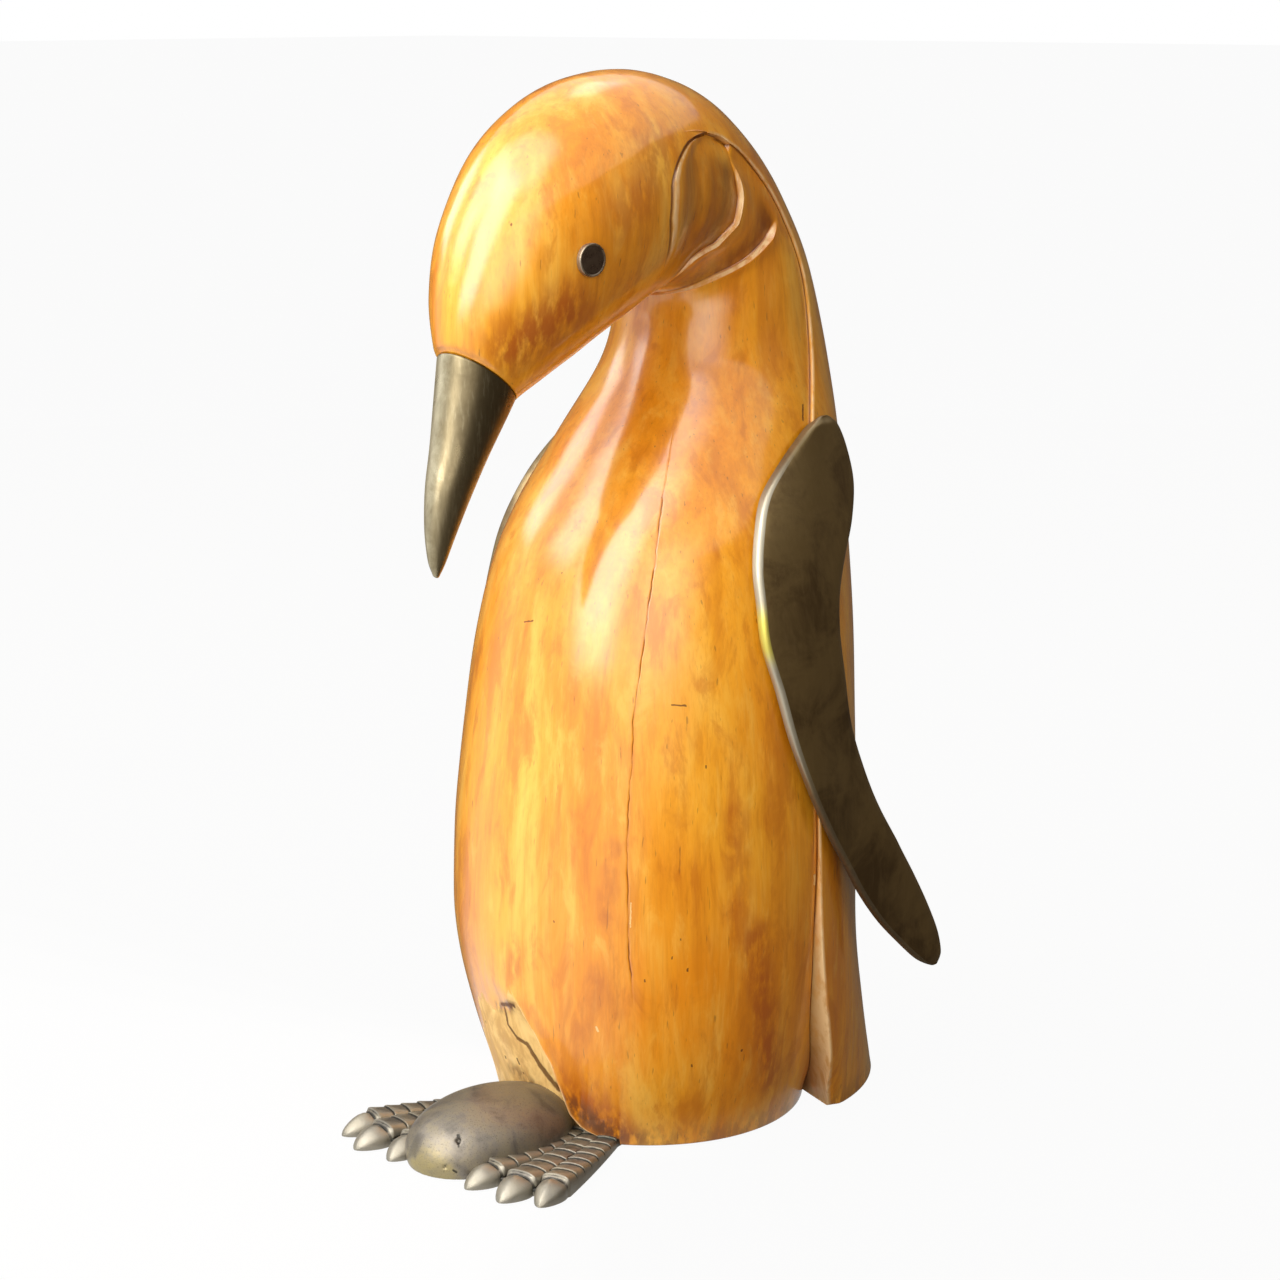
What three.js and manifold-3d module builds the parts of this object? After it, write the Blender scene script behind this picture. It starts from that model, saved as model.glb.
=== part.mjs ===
// A carved wooden penguin that bends its head to look at the egg on its feet.
// Beak, eyes, flippers, feet and egg are cast in brass and fixed to the wooden block.
// Millimetres, +Z up. The bird faces -Y, its left side is +X, and the origin is the middle
// of the block's flat underside.
import * as THREE from 'three';
import { mergeVertices } from 'three/addons/utils/BufferGeometryUtils.js';
import Module from 'manifold-3d';

const wasm = await Module();
wasm.setup();

// Fits
const seatGap = 0.3; // between a brass piece and what it rests on
const pinGap = 0.3; // all round a pin or screw in its hole
const endGap = 0.5; // past the blind end of a pin

// The carved block as a row of rings, from the underside up the trunk, over the crown and
// down to the beak.
const trunkHeight = 280; // from the ground to where the shoulders begin
// Trunk: height as a share of the trunk's, y of the front, y of the back, half width
const trunkRings = [
  [0, -77, 80, 81],
  [0.14, -86, 92, 90],
  [0.3, -89, 102, 96],
  [0.48, -87, 108, 98],
  [0.66, -81, 108, 95.5],
  [0.84, -73, 110, 90],
];
// Shoulders, neck and head: y and height of the front point, y and height of the back point,
// heights above the trunk, and half width
const headRings = [
  [-59, 0, 111, 3, 81],
  [-32, 41, 112.5, 50, 66],
  [-4, 78, 110.5, 94, 51],
  [6, 104, 98, 132, 46],
  [7, 114, 79, 165, 43],
  [4, 117, 53, 192, 44],
  [-3, 117, 22, 212, 46],
  [-15, 112, -16, 220, 47],
  [-34, 103, -57, 213.5, 47],
  [-52, 95, -91, 193, 44],
  [-66, 88, -115, 161, 38],
  [-78, 82, -127, 130, 30],
  [-89, 76, -130.5, 106, 21],
  [-93.5, 73, -128.5, 99, 17.7],
];
const blockRings = [
  ...trunkRings.map(([share, front, back, half]) => {
    const z = share * trunkHeight;
    return [front, z, back, z, half];
  }),
  ...headRings.map(([frontY, up, backY, backUp, half]) => [
    frontY,
    trunkHeight + up,
    backY,
    trunkHeight + backUp,
    half,
  ]),
];
const ringMiddle = 0.49; // where a ring is widest, as a share of the way from front to back

// The cloak of dark feathers wraps round the back and stands proud of the belly along an
// edge. Each ring, counted as above: where the edge is on the belly and on the cloak, in
// degrees from the back, then how far the cloak goes past the block at its side and at its
// back, and how far behind the block's own middle it is centred.
const cloakRings = [
  [51, 89, 10, 53, 38],
  [74, 85, 8.5, 28, 17],
  [83, 84.5, 4.5, 9, 4],
  [86, 86.5, 2.3, 1.8, 0],
  [87, 87.2, 2, 1, 0],
  [87, 87.2, 2, 1, 0],
  [86, 86.2, 2, 1, 0],
  [83, 83.2, 1.8, 1.5, 0],
  [74.5, 74.7, 1.6, 1.5, 0],
  [67, 67.2, 1.6, 1.2, 0],
  [64, 64.2, 1.5, 0.8, 0],
  [62, 62.2, 1.2, 0.6, 0],
  [60, 60.2, 0.6, 0.4, 0],
  [60, 60.2, 0, 0, 0],
];

// Ear patch: a hollow on each side of the neck, between these rings and these degrees
const patchRings = [11.3, 13.45];
const patchAngles = [64, 150];
const patchDepth = 3.5;
// Neck folds: each steps in by its depth at a ring, between two angles
const neckFolds = [
  { ring: 11.3, from: 72, to: 150, depth: 1.4 },
  { ring: 10.05, from: 72, to: 180, depth: 1.6 },
];

// Brood notch: below a slanting edge on the left thigh the belly is cut back towards the
// bird's right. Height and x of the edge, from the ground up to where it runs out
const notchEdge = [
  [0, 43],
  [7, 28],
  [14, 23],
  [27, 20.5],
  [40, 17],
  [54, 9],
  [62, 3],
  [73, -5],
  [100, -3],
  [130, 0],
];
const notchDepth = 9.5;
const notchTop = 102; // where the belly begins to draw in
const notchRun = 92; // how far down it reaches its full depth
const notchSoft = 25; // width of the soft start beside the edge's upper end

// Beak, below the face that it sits on: y and z of the upper edge, y and z of the lower
// edge, all from the middle of that face, and half width
const beakTaper = [
  [-20, -4, 12, -20, 16.4],
  [-24.5, -28, 1.5, -35, 13.3],
  [-29, -46.5, -8, -51, 10.5],
  [-31, -64, -16.5, -67, 7.4],
  [-30.5, -78, -22.5, -80, 4.2],
  [-28.5, -85.5, -25.5, -86, 1.5],
];
const beakInset = 0.2; // its upper rim stands this far inside the wood's
const beakRodDiameter = 6;
const beakRodInHead = 26;
const beakRodInBeak = 18;

// Eyes: brass studs, each a flat head in a turned seat and a shank
const eyeAt = [-81, 139]; // y, and height above the trunk
const eyeDiameter = 15;
const eyeHead = 2.6;
const eyeSeat = 1.2; // how deep the seat goes into the wood
const eyeTurn = 7; // degrees that the eye looks forward of straight out
const eyeShankDiameter = 5;
const eyeShankLength = 16;

// Flippers: height against the trunk's, y of the front edge, y of the back edge, from the
// shoulder to the tip
const flipperSlices = [
  [57, 54, 62],
  [52, 40, 67],
  [41, 22, 69],
  [26, 4, 67],
  [10, -6, 58],
  [-6, -12, 46],
  [-22, -14, 37.5],
  [-40, -15, 34],
  [-61, -11, 35],
  [-84, -6, 38],
  [-110, 3, 48],
  [-130, 14, 58],
  [-150, 28, 71],
  [-168, 41, 84],
  [-186, 57, 96],
  [-202, 75, 105],
  [-214, 90, 108.5],
  [-220, 101, 107],
];
const flipperFlat = 0.5; // how much less than the trunk its rear half bends round
const flipperThickness = 5.5;
const flipperLeaves = [-85, -150]; // it leaves the trunk between these heights
const flipperOut = 101; // how far out its free end hangs
const studDiameter = 6;
const studInFlipper = 3;
const studInBlock = 22;
const flipperStuds = [
  [20, 20],
  [10, -55],
];

// Feet: three ridged toes on a web, and a tang under the block. Toes from the outside in:
// x and y of the root, x and y of the middle, x of the tip, how much shorter than the
// longest it is, half width at the root and near the tip
const toeReach = 151; // from the block's middle to the longest toe's tip
const toes = [
  [36, -62, 52, -104, 64, 8, 5.5, 7.5],
  [28, -62, 40, -104, 47, 0, 5.5, 8.5],
  [19, -62, 26, -104, 25, 1, 5.5, 8],
];
const toeRootHeight = 4.5;
const toeHeight = 10;
const toeScales = 8;
const scaleRise = 0.8;
const clawLength = 17;
const webThickness = 3.5;
// The web's sides, and its front edge as x and how far behind the longest toe's tip
const webOuterSide = [
  [15, -58],
  [43, -58],
  [45, -74],
  [55, -101],
];
const webFront = [
  [63, 27],
  [63, 15],
  [56, 18],
  [46, 10],
  [35, 16],
  [25, 10],
  [17, 17],
];
const webInnerSide = [[16, -100]];
const tangThickness = 6;
const tangOutline = [
  [17, -60],
  [43, -60],
  [40, -22],
  [20, -22],
];
const footScrews = [
  [30, -50],
  [30, -32],
];
const screwDiameter = 4;
const screwHeadDiameter = 8;
const screwLength = 28;
const screwSunk = 0.5; // the head lies this far inside the underside

// Egg, lying along y on the inner toes
const eggMiddle = [-2, -104, 5.5];
const eggHalf = [31.5, 47.5, 22.5];
const eggBlunt = 0.08; // how much fuller its front end is than its rear end

// How finely the curved pieces are faceted
const stepsPerRing = 3;
const bellyColumns = 13;
const cloakColumns = 6;
const closingAngle = 0.3; // between a ring's last point and its first, in degrees
const beakSides = 20;
const roundSides = 20;
const eggSides = [28, 18];

const wood = { color: 0xd8892b, roughness: 0.3, metalness: 0 };
const agedBrass = { color: 0x6f6552, roughness: 0.4, metalness: 1 };
const darkBrass = { color: 0x4a4231, roughness: 0.4, metalness: 1 };
const eyeMetal = { color: 0x2d2620, roughness: 0.45, metalness: 1 };
const steel = { color: 0x8d8d88, roughness: 0.4, metalness: 1 };

const figure = new THREE.Group();

function place(name, geometry, look) {
  geometry.computeVertexNormals();
  const mesh = new THREE.Mesh(geometry, new THREE.MeshStandardMaterial(look));
  mesh.name = name;
  figure.add(mesh);
  return mesh;
}

const radians = (degrees) => (degrees * Math.PI) / 180;
const mix = (a, b, t) => a + (b - a) * t;
const clamp01 = (v) => Math.min(1, Math.max(0, v));
const smooth = (v) => clamp01(v) ** 2 * (3 - 2 * clamp01(v));

// Smooth curve through the rows of a table, at a place given in rows
function along(table, place) {
  const last = table.length - 1;
  const s = Math.min(Math.max(place, 0), last);
  const i = Math.min(Math.floor(s), last - 1);
  const t = s - i;
  return table[i].map((_, k) => {
    const b = table[i][k];
    const c = table[i + 1][k];
    const a = i > 0 ? table[i - 1][k] : 2 * b - c;
    const d = i + 2 <= last ? table[i + 2][k] : 2 * c - b;
    return 0.5 * (2 * b + (c - a) * t + (2 * a - 5 * b + 4 * c - d) * t * t
      + (3 * b - a - 3 * c + d) * t * t * t);
  });
}

function solidFrom(positions, triangles) {
  const geometry = new THREE.BufferGeometry();
  geometry.setAttribute('position', new THREE.Float32BufferAttribute(positions.flat(), 3));
  geometry.setIndex(triangles.flat());
  return geometry;
}

function toManifold(geometry) {
  let g = geometry.clone();
  g.deleteAttribute('normal');
  g.deleteAttribute('uv');
  g = mergeVertices(g, 1e-4);
  return new wasm.Manifold(new wasm.Mesh({
    numProp: 3,
    vertProperties: new Float32Array(g.attributes.position.array),
    triVerts: new Uint32Array(g.index.array),
  }));
}

function toGeometry(manifold) {
  const mesh = manifold.getMesh();
  const geometry = new THREE.BufferGeometry();
  geometry.setAttribute('position', new THREE.BufferAttribute(mesh.vertProperties, 3));
  geometry.setIndex(new THREE.BufferAttribute(mesh.triVerts, 1));
  return geometry;
}

// Rings of points, one after the other, closed round and capped at both ends
function skin(rings, firstCentre, lastCentre) {
  const n = rings[0].length;
  const positions = rings.flat();
  const triangles = [];
  for (let i = 0; i + 1 < rings.length; i += 1) {
    for (let j = 0; j < n; j += 1) {
      const k = (j + 1) % n;
      const a = i * n + j;
      const b = i * n + k;
      triangles.push([a, b, b + n], [a, b + n, a + n]);
    }
  }
  const first = positions.length;
  positions.push(firstCentre, lastCentre);
  const top = (rings.length - 1) * n;
  for (let j = 0; j < n; j += 1) {
    const k = (j + 1) % n;
    triangles.push([first, k, j], [first + 1, top + j, top + k]);
  }
  return solidFrom(positions, triangles);
}

const middleOf = (points) => [0, 1, 2].map(
  (k) => points.reduce((sum, p) => sum + p[k], 0) / points.length,
);

function mirrored(geometry) {
  const copy = geometry.clone();
  copy.scale(-1, 1, 1);
  const index = copy.index.array;
  for (let i = 0; i < index.length; i += 3) {
    const hold = index[i];
    index[i] = index[i + 1];
    index[i + 1] = hold;
  }
  return copy;
}

// A straight prism: an outline in the plane, pushed along the third direction
function prism(outline, low, high) {
  const shape = new THREE.Shape(outline.map(([x, y]) => new THREE.Vector2(x, y)));
  const geometry = new THREE.ExtrudeGeometry(shape, {
    depth: high - low,
    bevelEnabled: false,
    steps: 1,
  });
  geometry.translate(0, 0, low);
  return geometry;
}

// A round bar from one point to another
function bar(from, to, diameter) {
  const a = new THREE.Vector3(...from);
  const b = new THREE.Vector3(...to);
  const way = b.clone().sub(a);
  const geometry = new THREE.CylinderGeometry(
    diameter / 2,
    diameter / 2,
    way.length(),
    roundSides,
  );
  const turn = new THREE.Quaternion().setFromUnitVectors(
    new THREE.Vector3(0, 1, 0),
    way.clone().normalize(),
  );
  geometry.applyQuaternion(turn);
  const middle = a.add(b).multiplyScalar(0.5);
  geometry.translate(middle.x, middle.y, middle.z);
  return geometry;
}

const plus = (p, direction, distance) => p.map((v, k) => v + direction[k] * distance);

// A value between the rows of a table of [place, value]
function between(table, place) {
  const after = table.findIndex(([at]) => at > place);
  if (after === 0) {
    return table[0][1];
  }
  if (after < 0) {
    return table[table.length - 1][1];
  }
  const [from, a] = table[after - 1];
  const [to, b] = table[after];
  return mix(a, b, (place - from) / (to - from));
}

// Carving of the neck: how far the surface is cut in at a ring and an angle from the back
function carved(ring, angle) {
  const inPatch = smooth((ring - patchRings[0]) / 0.9)
    * smooth((patchRings[1] - ring) / 0.25)
    * smooth((angle - patchAngles[0]) / 10)
    * smooth((patchAngles[1] - angle) / 50);
  let cut = patchDepth * inPatch;
  for (const fold of neckFolds) {
    if (ring > fold.ring) {
      const reach = smooth((angle - fold.from) / 12) * smooth((fold.to + 1 - angle) / 12);
      cut += fold.depth * reach * (1 - smooth((ring - fold.ring) / 0.9));
    }
  }
  return cut;
}

// How far the belly is cut back at a point on the bird's right of the notch's edge
function notchCut(x, z, angle) {
  const soft = smooth((between(notchEdge, z) - x) / notchSoft);
  const sharp = smooth((z - 52) / 20);
  return notchDepth
    * smooth((notchTop - z) / notchRun)
    * mix(1, soft, sharp)
    * smooth((angle - 92) / 30);
}

// A point of the belly or cloak surface, grown outwards by some distance. Angles run from
// the back, 0, to the front, 180, on the left side, and below 0 on the right side.
function surfacePoint(ring, angle, onCloak, grow = 0, inNotch = false) {
  const [frontY, frontZ, backY, backZ, half] = along(blockRings, ring);
  const [, , side, back, shift] = along(cloakRings, Math.min(ring, cloakRings.length - 1));
  const span = Math.hypot(backY - frontY, backZ - frontZ);
  const way = [(backY - frontY) / span, (backZ - frontZ) / span];
  const middle = span * ringMiddle + (onCloak ? shift : 0);
  const behind = span + (onCloak ? back : 0) - middle;
  const a = radians(angle);
  const turn = (Math.acos(Math.cos(a)) * 180) / Math.PI;
  let out = grow - carved(ring, turn);
  if (inNotch) {
    out -= notchCut(Math.sin(a) * half, frontZ, turn);
  }
  const reach = Math.cos(a) > 0 ? behind : middle;
  const across = middle + Math.cos(a) * (reach + out);
  return [
    Math.sin(a) * (half + (onCloak ? side : 0) + out),
    frontY + way[0] * across,
    frontZ + way[1] * across,
  ];
}

const lastRing = blockRings.length - 1;

// The whole block, grown by some distance and let down below its underside. Round each
// ring go the left belly from the notch's edge, the cloak and the right belly.
function block(grow = 0, drop = 0) {
  const rings = [];
  for (let i = 0; i <= lastRing * stepsPerRing; i += 1) {
    const ring = i / stepsPerRing;
    const [bellyEdge, cloakEdge] = along(cloakRings, Math.min(ring, cloakRings.length - 1));
    const [, z, , , half] = along(blockRings, ring);
    const start = 180 - (Math.asin(between(notchEdge, z) / half) * 180) / Math.PI;
    const points = [];
    for (let j = 0; j <= bellyColumns; j += 1) {
      points.push(surfacePoint(ring, mix(start, bellyEdge, j / bellyColumns), false, grow));
    }
    for (let j = 0; j <= 2 * cloakColumns; j += 1) {
      const angle = mix(cloakEdge, -cloakEdge, j / (2 * cloakColumns));
      points.push(surfacePoint(ring, angle, true, grow));
    }
    for (let j = 0; j <= bellyColumns; j += 1) {
      const angle = mix(-bellyEdge, start + closingAngle - 360, j / bellyColumns);
      points.push(surfacePoint(ring, angle, false, grow, true));
    }
    rings.push(points);
  }
  if (drop > 0) {
    rings[0] = rings[0].map(([x, y, z]) => [x, y, z - drop]);
  }
  const edge = rings[0][bellyColumns];
  return toManifold(skin(rings, [0, edge[1], edge[2]], middleOf(rings[rings.length - 1])));
}

// Inverse of the rings on the trunk: how far out the surface is at a y and a height
function sideOf(y, z) {
  let low = 0;
  let high = 9;
  for (let n = 0; n < 40; n += 1) {
    const ring = (low + high) / 2;
    const [frontY, frontZ, backY, backZ] = along(blockRings, ring);
    const there = mix(frontZ, backZ, (y - frontY) / (backY - frontY));
    if (there < z) {
      low = ring;
    } else {
      high = ring;
    }
  }
  const ring = (low + high) / 2;
  const [frontY, , backY, , half] = along(blockRings, ring);
  const [, , side] = along(cloakRings, ring);
  const middle = mix(frontY, backY, ringMiddle);
  const reach = y > middle ? backY - middle : middle - frontY;
  return (half + side) * Math.sqrt(Math.max(0.02, 1 - ((y - middle) / reach) ** 2));
}

// Flipper: a plate with rounded edges that lies on the trunk and hangs free lower down
const flipperSection = [
  [0, 0],
  [0.035, 0.62],
  [0.12, 0.93],
  [0.35, 1],
  [0.65, 1],
  [0.88, 0.93],
  [0.965, 0.62],
  [1, 0],
];

function flipperMiddle(y, z, centre) {
  const held = y > centre ? mix(y, centre, flipperFlat) : y;
  const leaving = trunkHeight + flipperLeaves[0] - z;
  const free = smooth(leaving / (flipperLeaves[0] - flipperLeaves[1]));
  return mix(sideOf(held, z) + seatGap, flipperOut, free) + flipperThickness / 2;
}

function flipper() {
  const steps = 2;
  const last = flipperSlices.length - 1;
  const rings = [];
  for (let i = 0; i <= last * steps; i += 1) {
    const place = i / steps;
    const [up, front, back] = along(flipperSlices, place);
    const z = trunkHeight + up;
    const full = Math.min(1, 0.45 + place * 0.3, 0.45 + (last - place) * 0.3);
    const point = ([share, thick], out) => {
      const y = mix(front, back, share);
      const x = flipperMiddle(y, z, (front + back) / 2);
      return [x + (out * thick * full * flipperThickness) / 2, y, z];
    };
    const outer = flipperSection.map((p) => point(p, 1));
    const inner = flipperSection.slice(1, -1).reverse().map((p) => point(p, -1));
    rings.unshift([...outer, ...inner]);
  }
  return toManifold(skin(rings, middleOf(rings[0]), middleOf(rings[rings.length - 1])));
}

// Half of a toe's section, from its side on the ground to its ridge: across and up
const toeSection = [
  [1, 0],
  [0.95, 0.5],
  [0.6, 0.88],
  [0, 1],
];

// One toe: a bent ridge with raised scales that ends in a claw on the ground
function toe([rootX, rootY, midX, midY, tipX, shorter, rootHalf, tipHalf], grow) {
  const tipY = shorter - toeReach;
  const line = new THREE.QuadraticBezierCurve(
    new THREE.Vector2(rootX, rootY),
    new THREE.Vector2(2 * midX - (rootX + tipX) / 2, 2 * midY - (rootY + tipY) / 2),
    new THREE.Vector2(tipX, tipY),
  );
  const length = line.getLength();
  const scalesEnd = 1 - clawLength / length;
  const pitch = scalesEnd / toeScales;
  // Share of the length, width, and height against the plain ridge
  const stations = [];
  for (let i = 0; i < toeScales; i += 1) {
    stations.push([i * pitch, 1, -scaleRise], [(i + 0.55) * pitch, 1, 0]);
  }
  stations.push([scalesEnd, 1, -scaleRise]);
  for (const [share, keep] of [[0.25, 1.06], [0.55, 0.95], [0.8, 0.66], [0.95, 0.3]]) {
    stations.push([mix(scalesEnd, 1, share), keep, toeHeight * Math.min(0.08, keep - 0.9)]);
  }
  const rings = stations.map(([at, keep, rise]) => {
    const spot = line.getPointAt(at);
    const way = line.getTangentAt(at);
    const half = mix(rootHalf, tipHalf, clamp01(at / scalesEnd)) * keep + grow;
    const height = mix(toeRootHeight, toeHeight, clamp01(at / scalesEnd)) + rise + grow;
    const right = toeSection.slice(0, -1).reverse().map(([s, h]) => [-s, h]);
    return [...toeSection, ...right].map(([s, h]) => [
      spot.x - way.y * s * half,
      spot.y + way.x * s * half,
      h * height,
    ]);
  });
  const first = rings[0];
  const start = middleOf([first[0], first[first.length - 1]]);
  const end = line.getTangentAt(1);
  return toManifold(skin(rings, start, [tipX + end.x * grow, tipY + end.y * grow, 0]));
}

function grown(outline, grow) {
  if (grow === 0) {
    return outline;
  }
  const cx = outline.reduce((sum, p) => sum + p[0], 0) / outline.length;
  const cy = outline.reduce((sum, p) => sum + p[1], 0) / outline.length;
  return outline.map(([x, y]) => {
    const far = Math.hypot(x - cx, y - cy);
    return [x + ((x - cx) / far) * grow * 1.4, y + ((y - cy) / far) * grow * 1.4];
  });
}

const webOutline = [
  ...webOuterSide,
  ...webFront.map(([x, behind]) => [x, behind - toeReach]),
  ...webInnerSide,
];

function foot(grow = 0) {
  let solid = toManifold(prism(grown(webOutline, grow), 0, webThickness + grow));
  solid = solid.add(toManifold(prism(grown(tangOutline, grow), 0, tangThickness + grow)));
  for (const sizes of toes) {
    solid = solid.add(toe(sizes, grow));
  }
  return solid;
}

function screwProfile(grow) {
  const head = screwHeadDiameter / 2 + grow;
  const shank = screwDiameter / 2 + grow;
  const cone = head - shank;
  const end = screwLength + (grow > 0 ? endGap : 0);
  const low = grow > 0 ? -screwSunk - 1 : 0;
  const points = [[0, low], [head, low], [head, 0], [shank, cone], [shank, end - shank], [0, end]];
  if (low === 0) {
    points.splice(1, 1);
  }
  return points.map(([r, z]) => new THREE.Vector2(r, z));
}

function screw([x, y], grow = 0) {
  const geometry = new THREE.LatheGeometry(screwProfile(grow), roundSides / 2);
  geometry.rotateX(Math.PI / 2);
  geometry.translate(x, y, screwSunk);
  return geometry;
}

function egg() {
  const geometry = new THREE.SphereGeometry(1, ...eggSides);
  geometry.rotateX(Math.PI / 2);
  const points = geometry.attributes.position;
  for (let i = 0; i < points.count; i += 1) {
    const full = 1 - eggBlunt * points.getY(i);
    points.setX(i, points.getX(i) * full);
    points.setZ(i, points.getZ(i) * full);
  }
  geometry.scale(...eggHalf);
  geometry.translate(...eggMiddle);
  const reach = Math.max(...eggHalf) * 2;
  const ground = new THREE.BoxGeometry(reach * 2, reach * 2, reach);
  ground.translate(eggMiddle[0], eggMiddle[1], -reach / 2);
  return toManifold(geometry).subtract(toManifold(ground));
}

// Where the neck ends and the beak begins
const seat = blockRings[lastRing];
const seatMiddle = [0, (seat[0] + seat[2]) / 2, (seat[1] + seat[3]) / 2];
const seatLength = Math.hypot(seat[0] - seat[2], seat[1] - seat[3]);
const beakWay = [0, -(seat[3] - seat[1]) / seatLength, (seat[2] - seat[0]) / seatLength];

function beak() {
  const rings = [];
  const steps = 2;
  const beakRings = [
    [seat[2], seat[3], seat[0], seat[1], seat[4] - beakInset],
    ...beakTaper.map(([upY, upZ, lowY, lowZ, half]) => [
      seatMiddle[1] + upY,
      seatMiddle[2] + upZ,
      seatMiddle[1] + lowY,
      seatMiddle[2] + lowZ,
      half,
    ]),
  ];
  for (let i = 0; i <= (beakRings.length - 1) * steps; i += 1) {
    const [upY, upZ, lowY, lowZ, half] = along(beakRings, i / steps);
    const ring = [];
    for (let j = 0; j < beakSides; j += 1) {
      const a = (2 * Math.PI * j) / beakSides;
      const share = (1 - Math.cos(a)) / 2;
      ring.push(plus(
        [Math.sin(a) * half, mix(lowY, upY, share), mix(lowZ, upZ, share)],
        beakWay,
        seatGap,
      ));
    }
    rings.push(ring);
  }
  const last = rings[rings.length - 1];
  const tip = middleOf(last);
  return toManifold(skin(rings, middleOf(rings[0]), [tip[0], tip[1] + 0.3, tip[2] - 1]));
}

// Eyes: where a line straight out from the mid plane meets the head's surface
function headPoint([y, z]) {
  let best = { far: Infinity };
  for (let ring = 13; ring <= 18; ring += 0.02) {
    for (let angle = 50; angle <= 130; angle += 0.5) {
      const p = surfacePoint(ring, angle, false);
      const far = Math.hypot(p[1] - y, p[2] - z);
      if (far < best.far) {
        best = { far, p };
      }
    }
  }
  return best.p;
}

const eye = {
  point: headPoint([eyeAt[0], trunkHeight + eyeAt[1]]),
  out: [Math.cos(radians(eyeTurn)), -Math.sin(radians(eyeTurn)), 0],
};
const eyeInner = plus(eye.point, eye.out, -eyeSeat);
const inwards = eye.out.map((v) => -v);

function eyeStud() {
  const from = plus(eyeInner, eye.out, seatGap);
  const head = toManifold(bar(from, plus(from, eye.out, eyeHead), eyeDiameter));
  const shank = bar(plus(from, eye.out, 0.5), plus(from, inwards, eyeShankLength), eyeShankDiameter);
  return toGeometry(head.add(toManifold(shank)));
}

function eyeHole() {
  const out = plus(eyeInner, eye.out, eyeSeat + 10);
  const wide = toManifold(bar(eyeInner, out, eyeDiameter + 2 * pinGap));
  const deep = plus(eyeInner, inwards, eyeShankLength - seatGap + endGap);
  const narrow = bar(plus(eyeInner, eye.out, 0.5), deep, eyeShankDiameter + 2 * pinGap);
  return wide.add(toManifold(narrow));
}

// Flipper studs run straight in from the flipper's inner face
const studs = flipperStuds.map(([y, up]) => {
  const z = trunkHeight + up;
  const face = flipperMiddle(y, z, y) - flipperThickness / 2;
  return {
    from: [face + studInFlipper, y, z],
    to: [face - studInBlock, y, z],
    past: [face + studInFlipper + endGap, y, z],
    deep: [face - studInBlock - endGap, y, z],
  };
});

const rodEnds = {
  inHead: plus(seatMiddle, beakWay, -beakRodInHead),
  inBeak: plus(seatMiddle, beakWay, seatGap + beakRodInBeak),
  headHole: plus(seatMiddle, beakWay, -beakRodInHead - endGap),
  beakHole: plus(seatMiddle, beakWay, seatGap + beakRodInBeak + endGap),
};

const footSolid = foot();
const footSpace = foot(seatGap);
const blockSpace = block(seatGap, 10);

// Cuts the same piece out on both sides
function cutBoth(solid, tool) {
  return solid
    .subtract(toManifold(tool))
    .subtract(toManifold(mirrored(tool)));
}

let blockSolid = block().subtract(toManifold(
  bar(rodEnds.headHole, plus(seatMiddle, beakWay, 5), beakRodDiameter + 2 * pinGap),
));
blockSolid = cutBoth(blockSolid, toGeometry(eyeHole()));
blockSolid = cutBoth(blockSolid, toGeometry(footSpace));
for (const stud of studs) {
  blockSolid = cutBoth(blockSolid, bar(stud.deep, plus(stud.from, [1, 0, 0], 10),
    studDiameter + 2 * pinGap));
}
for (const at of footScrews) {
  blockSolid = cutBoth(blockSolid, mergeVertices(bare(screw(at, pinGap)), 1e-4));
}

function bare(geometry) {
  geometry.deleteAttribute('normal');
  geometry.deleteAttribute('uv');
  return geometry;
}

place('body', toGeometry(blockSolid), wood);

const beakSolid = beak().subtract(toManifold(
  bar(plus(seatMiddle, beakWay, -5), rodEnds.beakHole, beakRodDiameter + 2 * pinGap),
));
place('beak', toGeometry(beakSolid), darkBrass);
place('beak_rod', bar(rodEnds.inHead, rodEnds.inBeak, beakRodDiameter), steel);

let flipperSolid = flipper().subtract(blockSpace);
for (const stud of studs) {
  flipperSolid = flipperSolid.subtract(toManifold(
    bar(stud.past, plus(stud.to, [1, 0, 0], 2), studDiameter + 2 * pinGap),
  ));
}

let screwedFoot = footSolid;
for (const at of footScrews) {
  screwedFoot = screwedFoot.subtract(toManifold(screw(at, pinGap)));
}

// Pairs: made for the left side and mirrored for the right
const pairs = [
  ['eye', eyeStud(), eyeMetal],
  ['flipper', toGeometry(flipperSolid), darkBrass],
  ['foot', toGeometry(screwedFoot), agedBrass],
];
studs.forEach((stud, n) => {
  pairs.push([`flipper_stud_${n + 1}`, bar(stud.to, stud.from, studDiameter), steel]);
});
footScrews.forEach((at, n) => {
  pairs.push([`foot_screw_${n + 1}`, screw(at), steel]);
});
for (const [name, geometry, look] of pairs) {
  const clean = mergeVertices(bare(geometry), 1e-4);
  place(`${name}_left`, clean, look);
  place(`${name}_right`, mirrored(clean), look);
}

const eggSolid = egg()
  .subtract(footSpace)
  .subtract(toManifold(mirrored(toGeometry(footSpace))))
  .subtract(blockSpace);
place('egg', toGeometry(eggSolid), agedBrass);

export default figure;
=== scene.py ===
import math
from types import SimpleNamespace

import bmesh
import bpy
import numpy as np
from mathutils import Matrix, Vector, noise


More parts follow.
